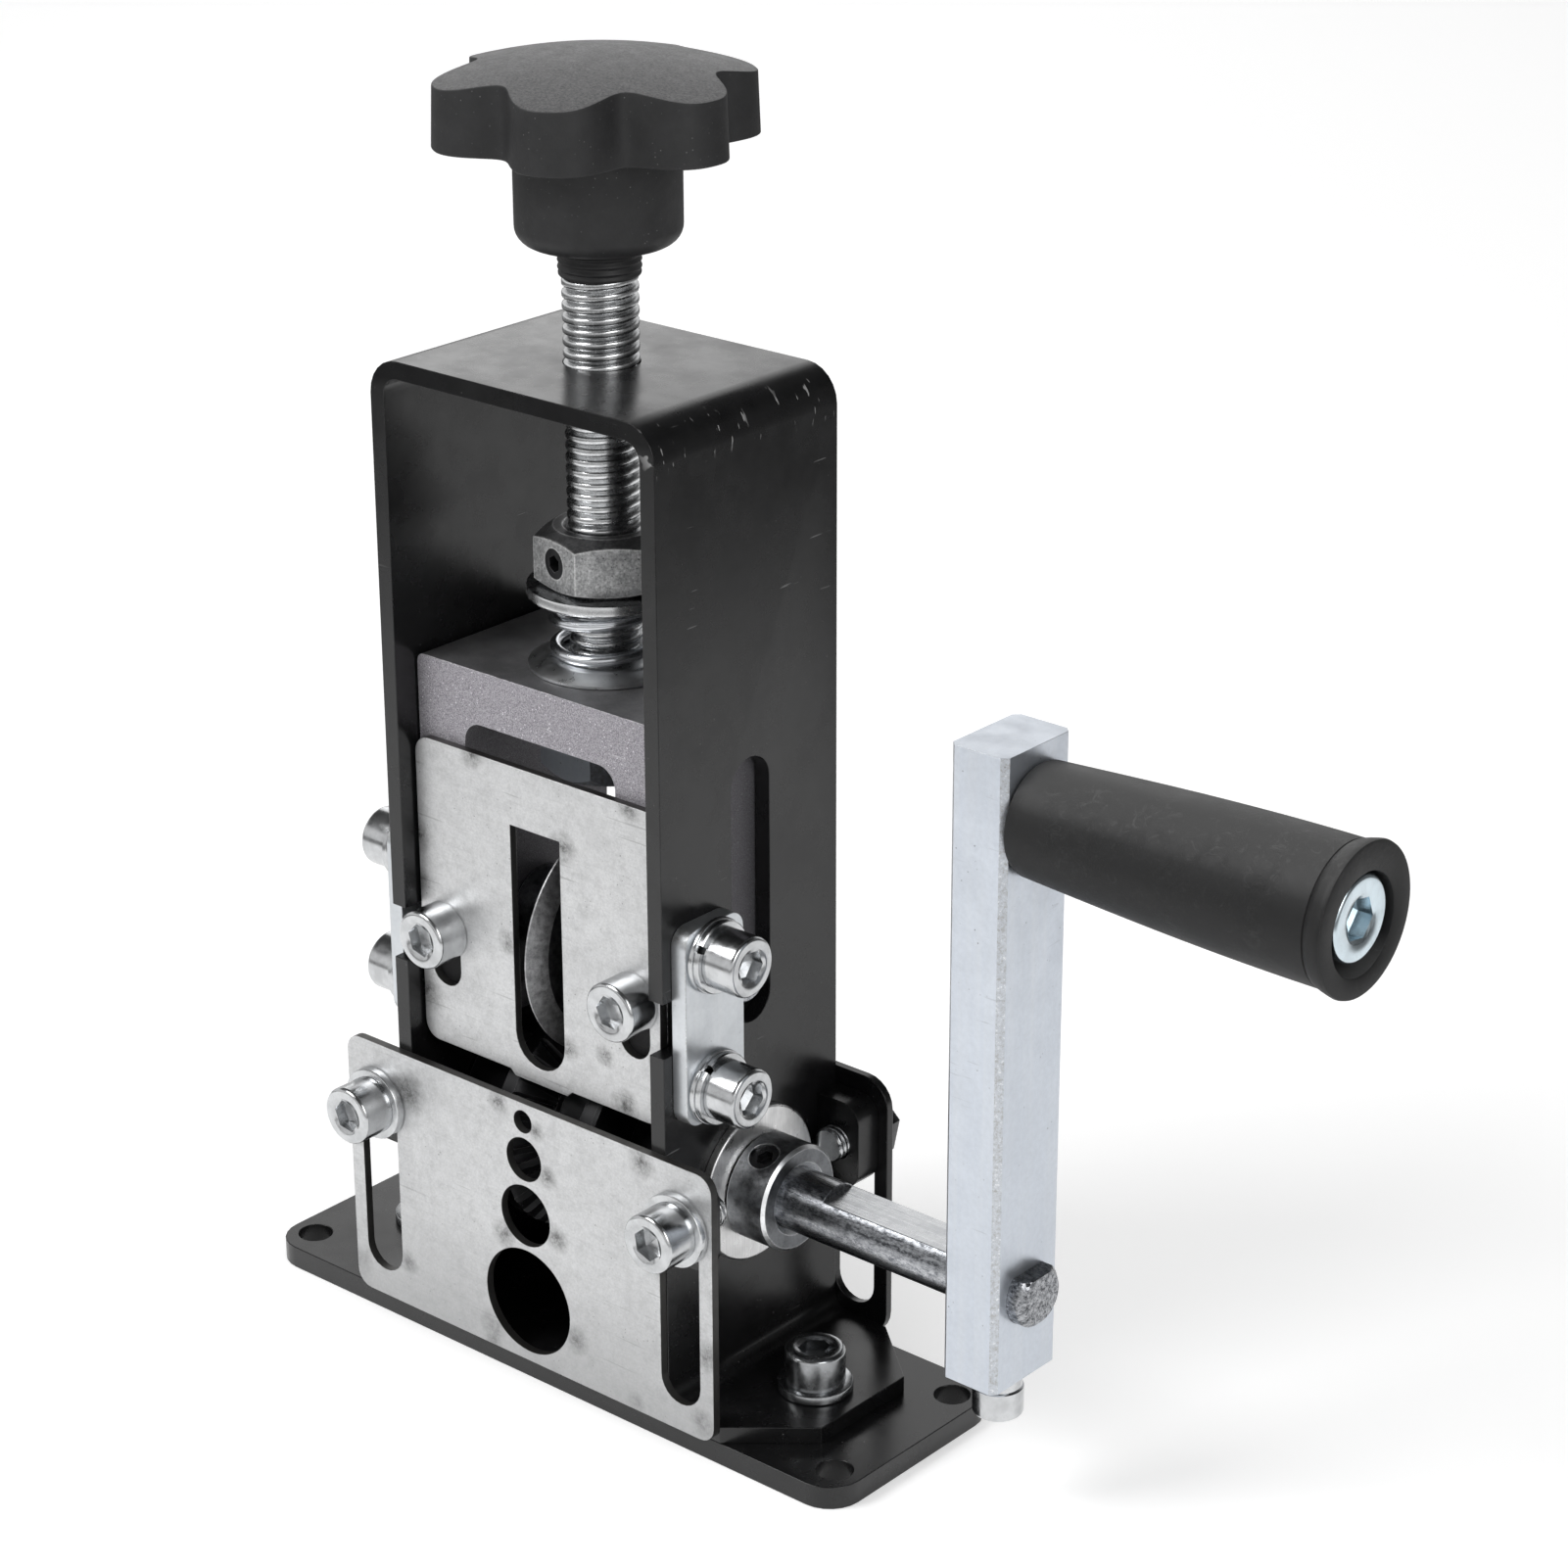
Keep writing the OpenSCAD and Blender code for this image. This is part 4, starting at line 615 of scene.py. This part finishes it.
def extruded(bm, edges):
    """New verts and edges of an open loop pulled out of these edges; they still lie where they began."""
    made = bmesh.ops.extrude_edge_only(bm, edges=edges)["geom"]
    verts = [item for item in made if isinstance(item, bmesh.types.BMVert)]
    fresh = set(verts)
    return verts, [e for e in made if isinstance(e, bmesh.types.BMEdge) and fresh.issuperset(e.verts)]


def join(bm, other):
    """Adds another bmesh to this one."""
    mesh = mesh_from(other, "join")
    bm.from_mesh(mesh)
    bpy.data.meshes.remove(mesh)


def cut_away(bm, cutter):
    """The first shape with the second one taken out of it."""
    pair = []
    for shape in (bm, cutter):
        bmesh.ops.recalc_face_normals(shape, faces=shape.faces)
        pair.append(put("cut", mesh_from(shape, "cut")))
    taken = pair[0].modifiers.new("cut", "BOOLEAN")
    taken.operation = "DIFFERENCE"
    taken.object = pair[1]
    result = bmesh.new()
    result.from_object(pair[0], bpy.context.evaluated_depsgraph_get())
    for item in pair:
        mesh = item.data
        bpy.data.objects.remove(item)
        bpy.data.meshes.remove(mesh)
    return result


def placed(bm, place, direction=(0, 0, 1), turn=0.0):
    """Stands a shape drawn along +Z at a place in millimetres, along a direction."""
    stand = Vector(direction).to_track_quat("Z", "Y").to_matrix().to_4x4()
    where = Matrix.Translation(Vector(place) * MM) @ stand @ Matrix.Rotation(math.radians(turn), 4, "Z")
    bmesh.ops.transform(bm, matrix=where, verts=bm.verts)
    return bm


def cut_off(bm, height, upper):
    """Cuts a shape level at a height and closes it with a face."""
    made = bmesh.ops.bisect_plane(bm, geom=everything(bm), plane_co=(0, 0, height * MM),
                                  plane_no=(0, 0, 1 if upper else -1), clear_outer=True, dist=1e-8)
    rim = [item for item in made["geom_cut"] if isinstance(item, bmesh.types.BMEdge)]
    bmesh.ops.contextual_create(bm, geom=rim)


# One turn of a thread as (share of the pitch, share of the depth): broad rounded crests, narrow grooves
THREAD_SHAPE = ((0.0, 1.0), (0.06, 1.0), (0.2, 0.34), (0.3, 0.08), (0.42, 0.0), (0.64, 0.0), (0.76, 0.08),
                (0.86, 0.34), (1.0, 1.0))
GROOVE_SHARE = 0.40


def thread(radius, pitch, low, high, lead_in=0.0, steps=40):
    """A right-hand thread about +Z between two heights, its ends turned down by lead_in."""
    bm = bmesh.new()
    depth = GROOVE_SHARE * pitch
    verts, edges = chain(bm, [(radius - depth * drop, low + (share - 1.5) * pitch) for share, drop in THREAD_SHAPE])
    swept(bm, verts + edges, steps, rise=pitch * MM / steps)
    one_turn = everything(bm)
    for turn in range(1, math.ceil((high - low) / pitch) + 3):
        copied = bmesh.ops.duplicate(bm, geom=one_turn)["geom"]
        bmesh.ops.translate(bm, verts=[item for item in copied if isinstance(item, bmesh.types.BMVert)],
                            vec=(0, 0, turn * pitch * MM))
    bmesh.ops.remove_doubles(bm, verts=bm.verts, dist=0.002 * MM)
    cut_off(bm, high, True)
    cut_off(bm, low, False)
    for vert in bm.verts:
        end = min(high * MM - vert.co.z, vert.co.z - low * MM)
        limit = (radius - lead_in) * MM + end
        reach = vert.co.xy.length
        if reach > limit:
            vert.co.xy *= limit / reach
    return bm


def cap_head(radius, height, across, depth, soft=0.7, steps=64):
    """The head of a cap screw above z = 0, with rounded shoulders and a drilled hexagon."""
    hexagon = across / 2 / math.cos(math.radians(30))
    mouth = hexagon + 0.25
    shoulder = [(radius - soft * (1 - math.sin(a)), height - soft * (1 - math.cos(a)))
                for a in (math.radians(15 * i) for i in range(6, -1, -1))]
    bm = turned([(0, 0), (radius - 0.15, 0), (radius, 0.15)] + shoulder
                + [(mouth + 0.15, height), (mouth, height - 0.1)], steps)
    ring = [e for e in bm.edges if e.is_boundary]
    six = bmesh.ops.create_circle(bm, segments=6, radius=hexagon * MM,
                                  matrix=Matrix.Translation((0, 0, (height - 0.3) * MM)))["verts"]
    rim = list({e for v in six for e in v.link_edges})
    bmesh.ops.bridge_loops(bm, edges=ring + rim)
    for drop, shrink in ((depth - 0.3, 1.0), (0.6, 0.12)):
        verts, rim = extruded(bm, rim)
        bmesh.ops.translate(bm, verts=verts, vec=(0, 0, -drop * MM))
        for vert in verts:
            vert.co.xy *= shrink
    bmesh.ops.contextual_create(bm, geom=rim)
    return bm


def cap_screw(radius, length, head_radius, head_height, across, depth, pitch, plain=0.0):
    """A cap screw that points down from z = 0, threaded below its plain neck."""
    bm = cap_head(head_radius, head_height, across, depth)
    if plain:
        join(bm, turned([(0, 0.2), (radius, 0.2), (radius, -plain), (0, -plain)], 40))
    join(bm, thread(radius, pitch, -length, 0.2 - plain, 0.35, 28))
    return bm


def small_screws(node, places, direction, length, plain):
    """M6 cap screws of one node: (x, y, z, turn) of each seat under its head. Those of the walls point outwards."""
    bm = bmesh.new()
    for x, y, z, turn in places:
        along = direction if direction[0] == 0 else (math.copysign(1, x), 0, 0)
        join(bm, placed(cap_screw(length=length, plain=plain, **M6), (x, y, z), along, turn))
    make_piece(bm, node, angle=38)


def disc_washer(outer, inner, low, high, soft=0.25, steps=72):
    """A flat washer between two heights, with rolled edges."""
    return turned([(inner, low), (outer - soft, low), (outer, low + soft), (outer, high - soft),
                   (outer - 0.3 * soft, high - 0.3 * soft), (outer - soft, high), (inner + 0.5 * soft, high),
                   (inner, high - 0.5 * soft), (inner, low)], steps)


def split_washer(outer, inner, low, high, gap=12.0, steps=60):
    """A spring washer: a square wire ring with a cut across it."""
    bm = bmesh.new()
    soft = 0.2
    corners = [(inner, low), (outer - soft, low), (outer, low + soft), (outer, high - soft),
               (outer - soft, high), (inner, high)]
    bm.faces.new([bm.verts.new((r * MM, 0, h * MM)) for r, h in corners])
    swept(bm, everything(bm), steps, math.radians(360 - gap))
    return bm


def ring_to(verts, reach_of, height_of):
    """Moves a ring of verts to the reach of their angle and the height of that reach, in millimetres."""
    for vert in verts:
        angle = math.atan2(vert.co.y, vert.co.x)
        reach = reach_of(angle)
        vert.co = Vector((math.cos(angle) * reach, math.sin(angle) * reach, height_of(reach))) * MM


def hexagon_nut(across, height, bore, steps=96):
    """A nut above z = 0: its corners fall away on a flat cone at both ends, more so at the top."""
    bm = bmesh.new()
    fall, low_edge, high_edge = math.tan(math.radians(20)), 0.4, 1.1
    flat = across / 2

    def outline(angle):
        return flat / math.cos((angle + math.pi / 6) % (math.pi / 3) - math.pi / 6)

    def drop(reach, least):
        return least + (reach - flat) * fall

    circle = bmesh.ops.create_circle(bm, segments=steps, radius=1.0)["verts"]
    first = loop = bm.edges[:]
    ring_to(circle, lambda angle: bore, lambda reach: 0.35)
    for reach_of, height_of in (
            (lambda angle: bore + 0.35, lambda reach: 0.0),
            (lambda angle: flat - 0.5, lambda reach: 0.0),
            (outline, lambda reach: drop(reach, low_edge)),
            (outline, lambda reach: height - drop(reach, high_edge)),
            (lambda angle: flat - 1.6, lambda reach: height),
            (lambda angle: bore + 0.7, lambda reach: height),
            (lambda angle: bore, lambda reach: height - 0.7)):
        verts, loop = extruded(bm, loop)
        ring_to(verts, reach_of, height_of)
    bmesh.ops.bridge_loops(bm, edges=first + loop)
    return bm


def spring_coil(radius, wire, low, high, turns, level=0.2, rings=40, sides=20):
    """A wound spring: level at both ends and climbing between them."""
    bm = bmesh.new()
    stand = Matrix.Translation((radius * MM, 0, (low + wire / 2) * MM)) @ Matrix.Rotation(math.pi / 2, 4, "X")
    bmesh.ops.create_circle(bm, cap_ends=True, segments=sides, radius=wire / 2 * MM, matrix=stand)
    loop = everything(bm)
    count = int(turns * rings)
    rise = high - low - wire
    done = 0.0
    for i in range(count):
        share = min(1.0, max(0.0, ((i + 1) / count - level) / (1 - 2 * level)))
        climb = share * share * (3 - 2 * share) * 0.35 + share * 0.65
        loop = swept(bm, loop, 1, FULL_TURN * turns / count, (climb - done) * rise * MM)
        done = climb
    bmesh.ops.remove_doubles(bm, verts=bm.verts, dist=0.0005 * MM)
    return bm


for node, part in NODES.items():
    part.data.materials.clear()
    part.data.materials.append(FINISHES[node])

# CAD nodes whose shape is kept, with the rounding of their edges
ROUNDED = {
    "base_plate": 0.4, "frame": 0.35, "front_lugs": 0.3, "rear_lugs": 0.35, "side_straps": 0.3,
    "shaft_bushes": 0.15, "guide_plate": 0.18, "rear_plate": 0.2, "retaining_nut": 0.18, "blade_block": 0.3,
    "guard_plate": 0.18, "drive_shaft": 0.15, "crank_arm": 0.25, "blade_axle": 0.1, "blade_spacers": 0.1,
    "feed_wheel": 0.08, "stripping_blade": 0.0, "collar_screws": 0.1,
}
for node, width in ROUNDED.items():
    make_piece(cad_copy(node), node, width)

# The collars: a wide chamfer round the outer mouth of the bore
COLLAR_MIDDLE, COLLAR_CHAMFER = 39, 0.9
collars = cad_copy("shaft_collars")
mouth_edges = []
for edge in collars.edges:
    ends = [vert.co for vert in edge.verts]
    on_bore = all(abs(math.hypot(p.y, p.z - SHAFT_Z * MM) - SHAFT_RADIUS * MM) < 0.1 * MM for p in ends)
    if on_bore and abs(ends[0].x - ends[1].x) < 0.001 * MM and abs(ends[0].x) > COLLAR_MIDDLE * MM:
        mouth_edges.append(edge)
bmesh.ops.bevel(collars, geom=mouth_edges, offset=COLLAR_CHAMFER * MM, segments=1, profile=0.5, affect="EDGES",
                material=-1)
make_piece(collars, "shaft_collars", 0.25)

# The pressure screw: its thread shows above the roof and inside the frame
ROD_RADIUS, THREAD_PITCH = 6.0, 1.88
rod_low, rod_high = (corner[2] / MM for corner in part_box("pressure_screw"))
make_piece(thread(ROD_RADIUS, THREAD_PITCH, rod_low, rod_high, lead_in=1.0, steps=44), "pressure_screw", angle=50)

# Cap screws, each turned about its axis in degrees
foot_seat, guide_seat = FOOT_TOP + WASHER_HEIGHT, GUIDE_FACE - WASHER_HEIGHT
small_screws("foot_screws", [(side * FOOT_X, FOOT_Y, foot_seat, turn) for side, turn in ((-1, 12), (1, 8))],
             (0, 0, 1), length=8.4, plain=3)
small_screws("strap_screws", [(side * (STRAP_FACE + 2 * STRAP_WASHER_HEIGHT), STRAP_Y, STRAP_Z[row], turn)
                              for side, row, turn in ((-1, 0, 20), (-1, 1, 5), (1, 0, 14), (1, 1, 24))],
             (1, 0, 0), length=7.8, plain=4)
small_screws("guide_screws", [(side * LUG_X, guide_seat, LUG_Z, turn) for side, turn in ((-1, 22), (1, 10))],
             (0, -1, 0), length=10.1, plain=3)
small_screws("guard_screws", [(side * GUARD_SCREW_X, GUARD_FACE, GUARD_SCREW_Z, turn)
                              for side, turn in ((-1, 16), (1, 25))],
             (0, -1, 0), length=9.5, plain=1)
make_piece(placed(cap_screw(length=12.9, plain=3, **M5), CLAMP_SEAT, (0, 0, -1), 7), "clamp_screw", angle=38)
bolt_seat = (HANDLE_START + HANDLE_LENGTH - POCKET_DEPTH, 0, HANDLE_Z)
make_piece(placed(cap_screw(length=57.3, plain=48, **M8), bolt_seat, (1, 0, 0), 20), "handle_bolt", angle=38)

# The pressing nut, with the hole of its grub screw in one flat, and that screw
NUT_ACROSS, NUT_HEIGHT, NUT_Z, NUT_TURN, GRUB_RADIUS = 19.8, 9.5, 136.1, -12, 2.5
nut = placed(hexagon_nut(NUT_ACROSS, NUT_HEIGHT, ROD_RADIUS + 0.05), (0, 0, NUT_Z), turn=NUT_TURN + 30)
to_grub = (math.sin(math.radians(NUT_TURN)), -math.cos(math.radians(NUT_TURN)), 0)
hole = turned([(0, 0), (GRUB_RADIUS, 0), (GRUB_RADIUS, 12), (0, 12)], 48)
hole = placed(hole, (0, 0, NUT_Z + NUT_HEIGHT / 2), to_grub)
make_piece(cut_away(nut, hole), "pressing_nut", 0.12, angle=25)
make_piece(cad_copy("nut_grub"), "nut_grub", 0.15)

# Hexagon bolts of the rear plate
BOLT_ACROSS, BOLT_HEAD, BOLT_LENGTH = 10, 4, 8.5
bolts = bmesh.new()
for x, turn in ((-LUG_X, 27), (LUG_X, 12)):
    hexagon = bmesh.new()
    corner = BOLT_ACROSS / math.sqrt(3) * MM
    bmesh.ops.create_cone(hexagon, cap_ends=True, segments=6, radius1=corner, radius2=corner, depth=BOLT_HEAD * MM,
                          matrix=Matrix.Translation((0, 0, BOLT_HEAD / 2 * MM)))
    crown = [e for e in hexagon.edges if all(v.co.z > (BOLT_HEAD - 0.1) * MM for v in e.verts)]
    bmesh.ops.bevel(hexagon, geom=crown, offset=0.5 * MM, segments=2, profile=0.5, affect="EDGES", material=-1)
    join(hexagon, thread(M6["radius"], M6["pitch"], -BOLT_LENGTH, 0.2, 0.35, 28))
    join(bolts, placed(hexagon, (x, REAR_FACE, LUG_Z), (0, 1, 0), turn))
make_piece(bolts, "rear_bolts", 0.12, angle=38)

# Washers
for node, half, y, z, direction in (("foot_washers", FOOT_X, FOOT_Y, FOOT_TOP, (0, 0, 1)),
                                    ("guide_washers", LUG_X, GUIDE_FACE, LUG_Z, (0, -1, 0))):
    washers = bmesh.new()
    for x in (-half, half):
        join(washers, placed(disc_washer(WASHER_RADIUS, WASHER_BORE, 0, WASHER_HEIGHT), (x, y, z), direction))
    make_piece(washers, node)
washers = bmesh.new()
for side in (-1, 1):
    for z in STRAP_Z:
        seat = (side * STRAP_FACE, STRAP_Y, z)
        flat = disc_washer(WASHER_RADIUS, WASHER_BORE, 0, STRAP_WASHER_HEIGHT - 0.02)
        split = split_washer(WASHER_RADIUS - 0.25, WASHER_BORE, STRAP_WASHER_HEIGHT, 2 * STRAP_WASHER_HEIGHT)
        join(washers, placed(flat, seat, (side, 0, 0)))
        join(washers, placed(split, seat, (side, 0, 0), 70 + z))
make_piece(washers, "strap_washers")
low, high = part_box("upper_washer")
bore = ROD_RADIUS + 0.15
make_piece(disc_washer(high[0] / MM, bore, low[2] / MM, high[2] / MM, soft=0.4, steps=96), "upper_washer")
low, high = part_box("lower_washer")
rim, foot, crown = high[0] / MM, low[2] / MM, high[2] / MM
dished = turned([(bore, foot), (rim - 0.2, foot), (rim, foot + 0.2), (rim, foot + 0.6), (rim - 0.3, foot + 0.8),
                 (10.6, crown - 0.2), (9.8, crown), (6.4, crown), (bore, crown - 0.25), (bore, foot)], 96)
make_piece(dished, "lower_washer")
make_piece(placed(disc_washer(3.85, 2.8, 0, 3.0, soft=0.2), CLAMP_SEAT), "clamp_washer")

# The spring between the two large washers, built at one length; the real one shortens as the block is pushed up
SPRING_LOW, SPRING_HIGH, BLOCK_FLOAT = 124.2, 134.1, 3.0
COIL_RADIUS, WIRE, COIL_TURNS, COIL_ANGLE = 8.3, 2.0, 2.4, -75
coil = spring_coil(COIL_RADIUS, WIRE, SPRING_LOW + 0.02, SPRING_HIGH - 0.02, COIL_TURNS)
coil = placed(coil, (0, 0, 0), turn=COIL_ANGLE)
spring = make_piece(coil, "pressure_spring", angle=60)
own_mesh(spring)

# The star knob: six lobes, a low dome, a hub and a neck
KNOB_RADIUS, KNOB_HOLLOW, KNOB_LOBES, KNOB_TURN = 25.3, 6.1, 6, 56
KNOB_Z, HUB_Z, LOBE_Z, RIM_HEIGHT, DOME = 185.8, 190.8, 206.7, 9.5, 3.8
HUB_RADIUS, HUB_ROUNDING, NECK_RADIUS, NECK_RINGS, NECK_STEP, INNER_RING = 13.0, 3.0, 6.6, 4, 1.1, 8.0


def knob_reach(angle):
    """How far the lobed outline stands from the axis."""
    fall = (1 - math.cos(KNOB_LOBES * (angle - math.radians(KNOB_TURN)))) / 2
    return KNOB_RADIUS - KNOB_HOLLOW * fall ** 1.5


def star_knob():
    """Lobes, dome, hub and neck, in their place."""
    bm = bmesh.new()
    circle = bmesh.ops.create_circle(bm, segments=216, radius=1.0)["verts"]
    ring_to(circle, knob_reach, lambda reach: LOBE_Z)
    bottom = loop = bm.edges[:]
    for share in (0.985, 0.965, 0.93, 0.86, 0.75, 0.62, 0.48, 0.34, 0.2, 0.08):
        verts, loop = extruded(bm, loop)
        ring_to(verts, lambda angle: knob_reach(angle) * share,
                lambda reach: LOBE_Z + RIM_HEIGHT + DOME * (1 - (reach / KNOB_RADIUS) ** 2))
    bmesh.ops.contextual_create(bm, geom=loop)
    verts, loop = extruded(bm, bottom)
    for vert in verts:
        vert.co.xy = vert.co.xy.normalized() * INNER_RING * MM
    bmesh.ops.contextual_create(bm, geom=loop)
    curve = [(HUB_RADIUS - HUB_ROUNDING * (1 - math.sin(a)), HUB_Z + HUB_ROUNDING * (1 - math.cos(a)))
             for a in (math.radians(11.25 * i) for i in range(9))]
    join(bm, turned([(0, HUB_Z)] + curve + [(HUB_RADIUS, LOBE_Z + 3), (0, LOBE_Z + 3)], 96))
    neck = [(0, KNOB_Z), (NECK_RADIUS - 0.4, KNOB_Z), (NECK_RADIUS - 0.15, KNOB_Z + 0.25)]
    for ring in range(NECK_RINGS):
        foot = KNOB_Z + NECK_STEP * ring
        neck += [(NECK_RADIUS - 0.15, foot + 0.6), (NECK_RADIUS - 0.35, foot + 0.85),
                 (NECK_RADIUS - 0.35, foot + 1.05), (NECK_RADIUS, foot + 1.3)]
    join(bm, turned(neck + [(NECK_RADIUS, HUB_Z + 1), (0, HUB_Z + 1)], 64))
    return bm


make_piece(star_knob(), "star_knob", width=0.7, segments=3, angle=40)

# The crank handle: a slow swell, a mould crease and a flared rim round a deep pocket that hangs low on its bolt
HANDLE_ROOT, HANDLE_SWELL, SWELL_STEPS, HANDLE_BORE = 9.0, 2.0, 24, 4.1
ROOT_EDGE, CREASE, POCKET_SAG = 0.7, 53.2, 0.7


def handle_shape():
    """The handle, drawn along +Z and laid along the bolt."""
    profile = [(HANDLE_BORE, 0.1), (HANDLE_ROOT - 0.6, 0.1), (HANDLE_ROOT - 0.2, 0.25), (HANDLE_ROOT, ROOT_EDGE)]
    for i in range(1, SWELL_STEPS + 1):
        share = i / SWELL_STEPS
        profile.append((HANDLE_ROOT + HANDLE_SWELL * math.sin(math.radians(90 * share)),
                        ROOT_EDGE + (CREASE - ROOT_EDGE) * share))
    profile += [(10.85, CREASE + 0.12), (10.9, CREASE + 0.26), (11.1, CREASE + 0.4), (11.35, CREASE + 1.2),
                (11.6, CREASE + 2.2), (11.72, CREASE + 2.8), (11.6, HANDLE_LENGTH - 0.1), (11.2, HANDLE_LENGTH),
                (8.1, HANDLE_LENGTH - 0.1), (7.8, HANDLE_LENGTH - 0.3), (7.7, HANDLE_LENGTH - 0.8),
                (7.6, HANDLE_LENGTH - POCKET_DEPTH), (HANDLE_BORE, HANDLE_LENGTH - POCKET_DEPTH - 0.1),
                (HANDLE_BORE, 0.1)]
    bm = turned(profile, 96)
    for vert in bm.verts:
        in_pocket = 5 * MM < vert.co.xy.length < 8.2 * MM and vert.co.z > 40 * MM
        if in_pocket:
            vert.co += Vector((0, -POCKET_SAG, 0)) * MM
    return placed(bm, (HANDLE_START, 0, HANDLE_Z), (1, 0, 0))


make_piece(handle_shape(), "crank_handle", angle=40)


# Stage, light and camera

FLOOR_SIZE, FLOOR_Z, FLOOR_GLOW = 6.0, -0.05 * MM, 0.39
AMBIENT = 0.42


def stage_floor():
    """A pale floor that looks white to the camera; reflections find its far part dark."""
    f = Finish("pale_floor")
    light_path = f.node("ShaderNodeLightPath").outputs
    dark = f.both(light_path["Is Glossy Ray"], f.band(f.reach((26, 30, 0)), 0.38, 0.56, 0.0, 0.85))
    f.colour = f.mix(dark, (0.80, 0.80, 0.80), (0.02, 0.02, 0.02))
    f.finish(0.9, 0.0)
    seen = f.math("MAXIMUM", light_path["Is Camera Ray"], light_path["Is Glossy Ray"])
    seen = f.math("MAXIMUM", seen, light_path["Is Transmission Ray"])
    strength = f.both(seen, f.math("SUBTRACT", 1.0, dark), FLOOR_GLOW)
    glow = f.node("ShaderNodeEmission", {"Color": (1, 1, 1, 1), "Strength": strength}).outputs["Emission"]
    lit = f.node("ShaderNodeAddShader", {0: f.shader.outputs["BSDF"], 1: glow}).outputs["Shader"]
    f.wire(lit, f.tree.nodes["Material Output"].inputs["Surface"])
    bm = bmesh.new()
    bmesh.ops.create_grid(bm, x_segments=2, y_segments=2, size=FLOOR_SIZE)
    bmesh.ops.translate(bm, verts=bm.verts, vec=(0, 0, FLOOR_Z))
    floor = put("floor", mesh_from(bm, "floor"))
    floor.data.materials.append(f.material)


def soft_lamp(name, place, aim, size, power):
    """A round lamp that isn't seen itself; places and sizes are in metres."""
    lamp = bpy.data.lights.new(name, "AREA")
    lamp.shape = "DISK"
    lamp.size = size
    lamp.energy = power
    holder = put(name, lamp)
    holder.location = place
    holder.rotation_euler = (Vector(aim) - Vector(place)).to_track_quat("-Z", "Y").to_euler()
    holder.visible_camera = False


def studio_world():
    """White all round for what is seen; reflections find a dim ceiling and a dark corner at the right behind."""
    world = bpy.data.worlds.new("studio")
    bpy.context.scene.world = world
    world.use_nodes = True
    w = Nodes(world.node_tree)
    light_path = w.node("ShaderNodeLightPath").outputs
    view = w.node("ShaderNodeTexCoord").outputs["Generated"]
    split = w.node("ShaderNodeSeparateXYZ", {"Vector": view}).outputs
    ceiling = w.band(split["Z"], 0.34, 0.50, 0.80, 0.06)
    right, behind = (w.band(split[axis], 0.05, 0.35, 0.0, 0.93) for axis in ("X", "Y"))
    above = w.both(ceiling, w.math("SUBTRACT", 1.0, w.both(right, behind)))
    seen = w.both(light_path["Is Camera Ray"], 1.0 - AMBIENT)
    mirrored = w.math("MAXIMUM", light_path["Is Glossy Ray"], light_path["Is Transmission Ray"])
    mirrored = w.both(mirrored, w.math("SUBTRACT", above, AMBIENT))
    background = w.tree.nodes["Background"].inputs
    w.wire((1, 1, 1, 1), background["Color"])
    w.wire(w.math("ADD", w.math("ADD", seen, mirrored), AMBIENT), background["Strength"])


# The photographer's place, as fitted to the photograph: its focal length is counted in the picture's pixels
AZIMUTH, ELEVATION, ROLL = (math.radians(a) for a in (40.76, 22.39, -0.19))
TARGET = Vector((36.92, 0, 111.02)) * MM
DISTANCE = 617.63 * MM
FOCAL_PIXELS, PICTURE_PIXELS, SENSOR_WIDTH = 4071.9, 1601, 36.0


def photo_camera():
    """A camera that looks at the target from the photographer's place."""
    back = Vector((math.sin(AZIMUTH) * math.cos(ELEVATION), -math.cos(AZIMUTH) * math.cos(ELEVATION),
                   math.sin(ELEVATION)))
    right = Vector((math.cos(AZIMUTH), math.sin(AZIMUTH), 0))
    up = back.cross(right)
    right = right * math.cos(ROLL) + up * math.sin(ROLL)
    up = back.cross(right)
    camera = bpy.data.cameras.new("photo_camera")
    camera.sensor_width = SENSOR_WIDTH
    camera.lens = SENSOR_WIDTH * FOCAL_PIXELS / PICTURE_PIXELS
    camera.clip_start = 0.01
    holder = put("photo_camera", camera)
    turn = Matrix((right, up, back)).transposed().to_4x4()
    holder.matrix_world = Matrix.Translation(TARGET + back * DISTANCE) @ turn
    bpy.context.scene.camera = holder


stage_floor()
studio_world()
soft_lamp("key_light", (-0.55, -0.85, 1.15), aim=(0, 0, 0.1), size=0.7, power=12)
soft_lamp("fill_light", (1.2, -0.35, 0.8), aim=(0, 0, 0.1), size=0.8, power=6)
soft_lamp("back_light", (-0.86, 1.0, 0.74), aim=(0, 0, 0.15), size=0.9, power=2.0)
photo_camera()
bpy.context.scene.view_settings.view_transform = "Standard"
